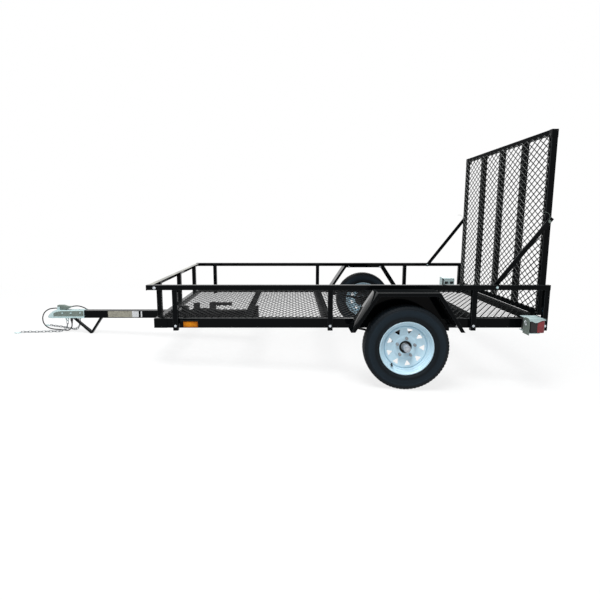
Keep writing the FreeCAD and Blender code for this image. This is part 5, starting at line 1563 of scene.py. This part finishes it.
class TRAILER_OT_lamps(Build):
    """Side markers in their hoods and tail lamps in their brackets"""

    bl_idname = "trailer.lamps"
    bl_label = "Lamps"

    def make(self, scene):
        dressed("marker_hoods", width=0.6 * MM)
        self.brackets()
        self.markers()
        self.tails()

    def markers(self):
        """Amber lenses on black bases, with the foot in front of each."""
        lenses, bases = bmesh.new(), bmesh.new()
        for low, high in solids("side_markers"):
            side, root, tip = outward(low, high)
            block(lenses, (low.x + 1 * MM, root + side * 5 * MM, low.z + 0.8 * MM),
                  (high.x - 1 * MM, tip, high.z - 0.8 * MM), ease=4.5 * MM, segments=3)
            block(bases, (low.x, root, low.z), (high.x, root + side * 7 * MM, high.z),
                  ease=2 * MM)
            block(bases, (low.x - 34 * MM, root, low.z + 8 * MM),
                  (low.x - 20 * MM, root + side * 9 * MM, low.z + 24 * MM), ease=2 * MM)
        mesh_piece("side_marker_lenses", lenses, ["amber_lens"], "chassis", "amber_lens",
                   ["side_markers"], smooth=30)
        mesh_piece("side_marker_bases", bases, ["black_hub"], "chassis", smooth=30)

    def tails(self):
        """Red lenses and the black boxes in front of them; the right one has a back plate."""
        lenses, boxes = bmesh.new(), bmesh.new()
        for low, high in solids("tail_lamps"):
            near = low.y + (4 * MM if low.y > 0 else 0)
            block(lenses, (low.x + 4 * MM, near, low.z), high, ease=5 * MM, segments=3)
            block(lenses, (low.x + 1 * MM, near + 3 * MM, low.z + 3 * MM),
                  (low.x + 8 * MM, high.y - 3 * MM, high.z - 3 * MM), ease=1 * MM)
            front = low.x - 42 * MM
            block(boxes, (front, near + 2 * MM, low.z + 2 * MM),
                  (low.x + 2 * MM, high.y - 5 * MM, high.z - 4 * MM), ease=3 * MM)
            if low.y > 0:
                block(boxes, (front, low.y + 0.5 * MM, low.z + 12 * MM),
                      (high.x - 2 * MM, low.y + 3 * MM, high.z - 6 * MM), ease=1 * MM)
        mesh_piece("tail_lamp_lenses", lenses, ["red_lens"], "chassis", "red_lens",
                   ["tail_lamps"], smooth=30)
        mesh_piece("tail_lamp_boxes", boxes, ["black_hub"], "chassis", smooth=30)

    def brackets(self):
        """Folded sheet round each tail lamp; the right one has a cheek against the rail."""
        bm = bmesh.new()
        wall = 2.5 * MM
        boxes = solids("lamp_brackets")
        for low, high in boxes:
            side, inner, outer = outward(low, high)
            plate = self.front(low, high, side, outer, wall)
            # The left front plate takes the darker zinc, painted shade.
            if side < 0:
                mesh_piece("lamp_front_plate", plate, ["dull_zinc"], "chassis", "zinc")
            else:
                merge(bm, plate)
            block(bm, (low.x, low.y, high.z - wall), high, ease=0.8 * MM)
            block(bm, low, (high.x - 30 * MM, high.y, low.z + wall), ease=0.8 * MM)
            flap = [(low.x + aft * MM, high.z - down * MM)
                    for aft, down in ((0, 13), (16, 12), (34, 22), (50, 21), (78, 8))]
            flap += [(high.x, high.z - 6 * MM), (high.x, high.z), (low.x, high.z)]
            prism(bm, flap, "Y", outer, outer - side * 2 * MM)
            if side > 0:
                merge(bm, self.cheek(low, high, inner, inner + side * wall))
        self.link(*boxes[0])
        mesh_piece("lamp_bracket_sheets", bm, ["zinc"], "chassis", "zinc", ["lamp_brackets"])

    def front(self, low, high, side, outer, wall):
        """A bracket's front plate: a bowed upper edge and a hole for the wiring."""
        split, foot, shoulder = outer - side * 81 * MM, low.z - 11 * MM, high.z - 8 * MM
        near, far = sorted((split, outer))
        middle = (split + outer) / 2
        outline = [(near, foot), (far, foot), (far, shoulder)]
        outline += arc((middle, shoulder), 40.5 * MM, 15, 165, 10, 12 * MM) + [(near, shoulder)]
        plate, hole = bmesh.new(), bmesh.new()
        prism(plate, outline, "X", low.x, low.x + wall)
        drill(hole, 6.5 * MM, 20 * MM, (low.x, middle + side * 6 * MM, high.z - 36 * MM), "X")
        return carved(plate, [hole])

    def cheek(self, low, high, first, last):
        """A bracket's side plate: two raised ears, each with a long slot under it."""
        outline = [(low.x, low.z + 10 * MM), (high.x, low.z + 10 * MM)]
        root, tip, chamfer = high.z - 6 * MM, high.z + 2 * MM, 5 * MM
        for start, stop in ((high.x, high.x - 48 * MM), (low.x + 50 * MM, low.x)):
            outline += [(start, root), (start - chamfer, tip), (stop + chamfer, tip), (stop, root)]
        plate, slots = bmesh.new(), bmesh.new()
        prism(plate, outline, "Y", first, last)
        run, radius, height = 6 * MM, 13 * MM, high.z - 40 * MM
        for x in (low.x + 25 * MM, high.x - 25 * MM):
            oval = arc((x + run, height), radius, -90, 90, 12)
            oval += arc((x - run, height), radius, 90, 270, 12)
            prism(slots, oval, "Y", first - 20 * MM, first + 20 * MM)
        return carved(plate, [slots])

    def link(self, low, high):
        """Closed ring hanging on the left bracket's front."""
        x, y, z = low.x - 3 * MM, low.y + 42.5 * MM, high.z - 30 * MM
        loop = [(x + 5 * MM * c, y + 5.2 * MM * s, z + 13 * MM * s)
                for c, s in arc((0, 0), 1, 0, 340, 17)]
        bm = bmesh.new()
        tube(bm, loop, 2.4 * MM, sides=10, closed=True)
        mesh_piece("lamp_link", bm, ["silver"], "chassis", "zinc", smooth=40)


class TRAILER_OT_gate(Build):
    """Ramp gate, its hinges, struts and pins"""

    bl_idname = "trailer.gate"
    bl_label = "Ramp gate"

    def make(self, scene):
        dressed("gate_uprights", "gate")
        dressed("gate_cross_bars", "gate", finish="black_dull")
        dressed("gate_hinge_knuckles", "gate", width=0.8 * MM, smooth=30)
        dressed("gate_hinge_lugs", width=0.8 * MM, smooth=30)
        dressed("gate_strut_bolts", slot="zinc", width=0.8 * MM, smooth=30)
        for name, side in SIDES:
            dressed(f"{name}_gate_strut", f"{name}_strut", width=0.8 * MM, smooth=30)
            self.pin(name, side)
        aft, height = 0.594, 0.352
        heads = [((aft, side * RAIL_FACE, height), (0, side, 0)) for _, side in SIDES]
        bolts("strut_bolt_heads", heads, "chassis", "zinc", across=11 * MM, washer=8.5 * MM)
        self.caps()

    def caps(self):
        """Sleeves over the upper ends of the outermost uprights."""
        outermost = 0.65
        bm = bmesh.new()
        for low, high in solids("gate_uprights"):
            if abs(low.y + high.y) / 2 > outermost:
                block(bm, (low.x - 1 * MM, low.y - 1 * MM, high.z - 50 * MM),
                      (high.x + 1 * MM, high.y + 1 * MM, high.z + 1 * MM), ease=1.5 * MM)
        mesh_piece("gate_end_caps", bm, ["black_paint"], "gate", "black_paint")

    def pin(self, name, side):
        """Headed pin near the strut's free end, with its wire ring."""
        low, high = spot(f"{name}_gate_strut")
        face = low.y if side < 0 else high.y
        bm = bmesh.new()
        profile = [(0, -2), (7, -2), (7, 3), (9, 3.4), (9, 6.4), (7.6, 7.6), (0, 7.6)]
        seat = (high.x - 27 * MM, face, high.z - 34 * MM)
        lathe(bm, in_metres(profile, side), seat, steps=20)
        centre = (high.x - 62 * MM, high.z - 8 * MM)
        wire = [(x, face + side * 4 * MM, z) for x, z in arc(centre, 34 * MM, -40, 110, 14)]
        tube(bm, wire, 0.9 * MM)
        mesh_piece(f"{name}_strut_pin", bm, ["dull_zinc"], f"{name}_strut", "zinc", smooth=30)


GROUPS = (
    TRAILER_OT_stage, TRAILER_OT_cords, TRAILER_OT_bed, TRAILER_OT_rails, TRAILER_OT_mesh,
    TRAILER_OT_wheels, TRAILER_OT_running_gear, TRAILER_OT_coupler, TRAILER_OT_lamps,
    TRAILER_OT_gate,
)
PROPERTIES = {
    "trailer_finishes": TrailerFinishes,
    "trailer_mesh": TrailerMesh,
    "trailer_wheels": TrailerWheels,
}


class TRAILER_PT_panel(bpy.types.Panel):
    """Lists the trailer's groups of pieces and their sizes"""

    bl_idname = "TRAILER_PT_panel"
    bl_label = "Utility trailer"
    bl_space_type = "VIEW_3D"
    bl_region_type = "UI"
    bl_category = "Trailer"

    def draw(self, context):
        for group in GROUPS:
            self.layout.operator(group.bl_idname)
        for name, kind in PROPERTIES.items():
            box = self.layout.box()
            for field in kind.bl_rna.properties:
                if not field.is_readonly and field.identifier != "name":
                    box.prop(getattr(context.scene, name), field.identifier)


CLASSES = (*PROPERTIES.values(), *GROUPS, TRAILER_PT_panel)


def register():
    for kind in CLASSES:
        bpy.utils.register_class(kind)
    for name, kind in PROPERTIES.items():
        setattr(bpy.types.Scene, name, PointerProperty(type=kind))


def unregister():
    for name in PROPERTIES:
        delattr(bpy.types.Scene, name)
    for kind in reversed(CLASSES):
        bpy.utils.unregister_class(kind)


def main():
    register()
    for group in GROUPS:
        getattr(bpy.ops.trailer, group.bl_idname.partition(".")[2])()
    corners = [[list(corner) for corner in pair] for pair in (CAD_BOX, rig.bounds())]
    with open("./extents.json", "w") as out:
        json.dump(corners, out)


if __name__ == "__main__":
    main()
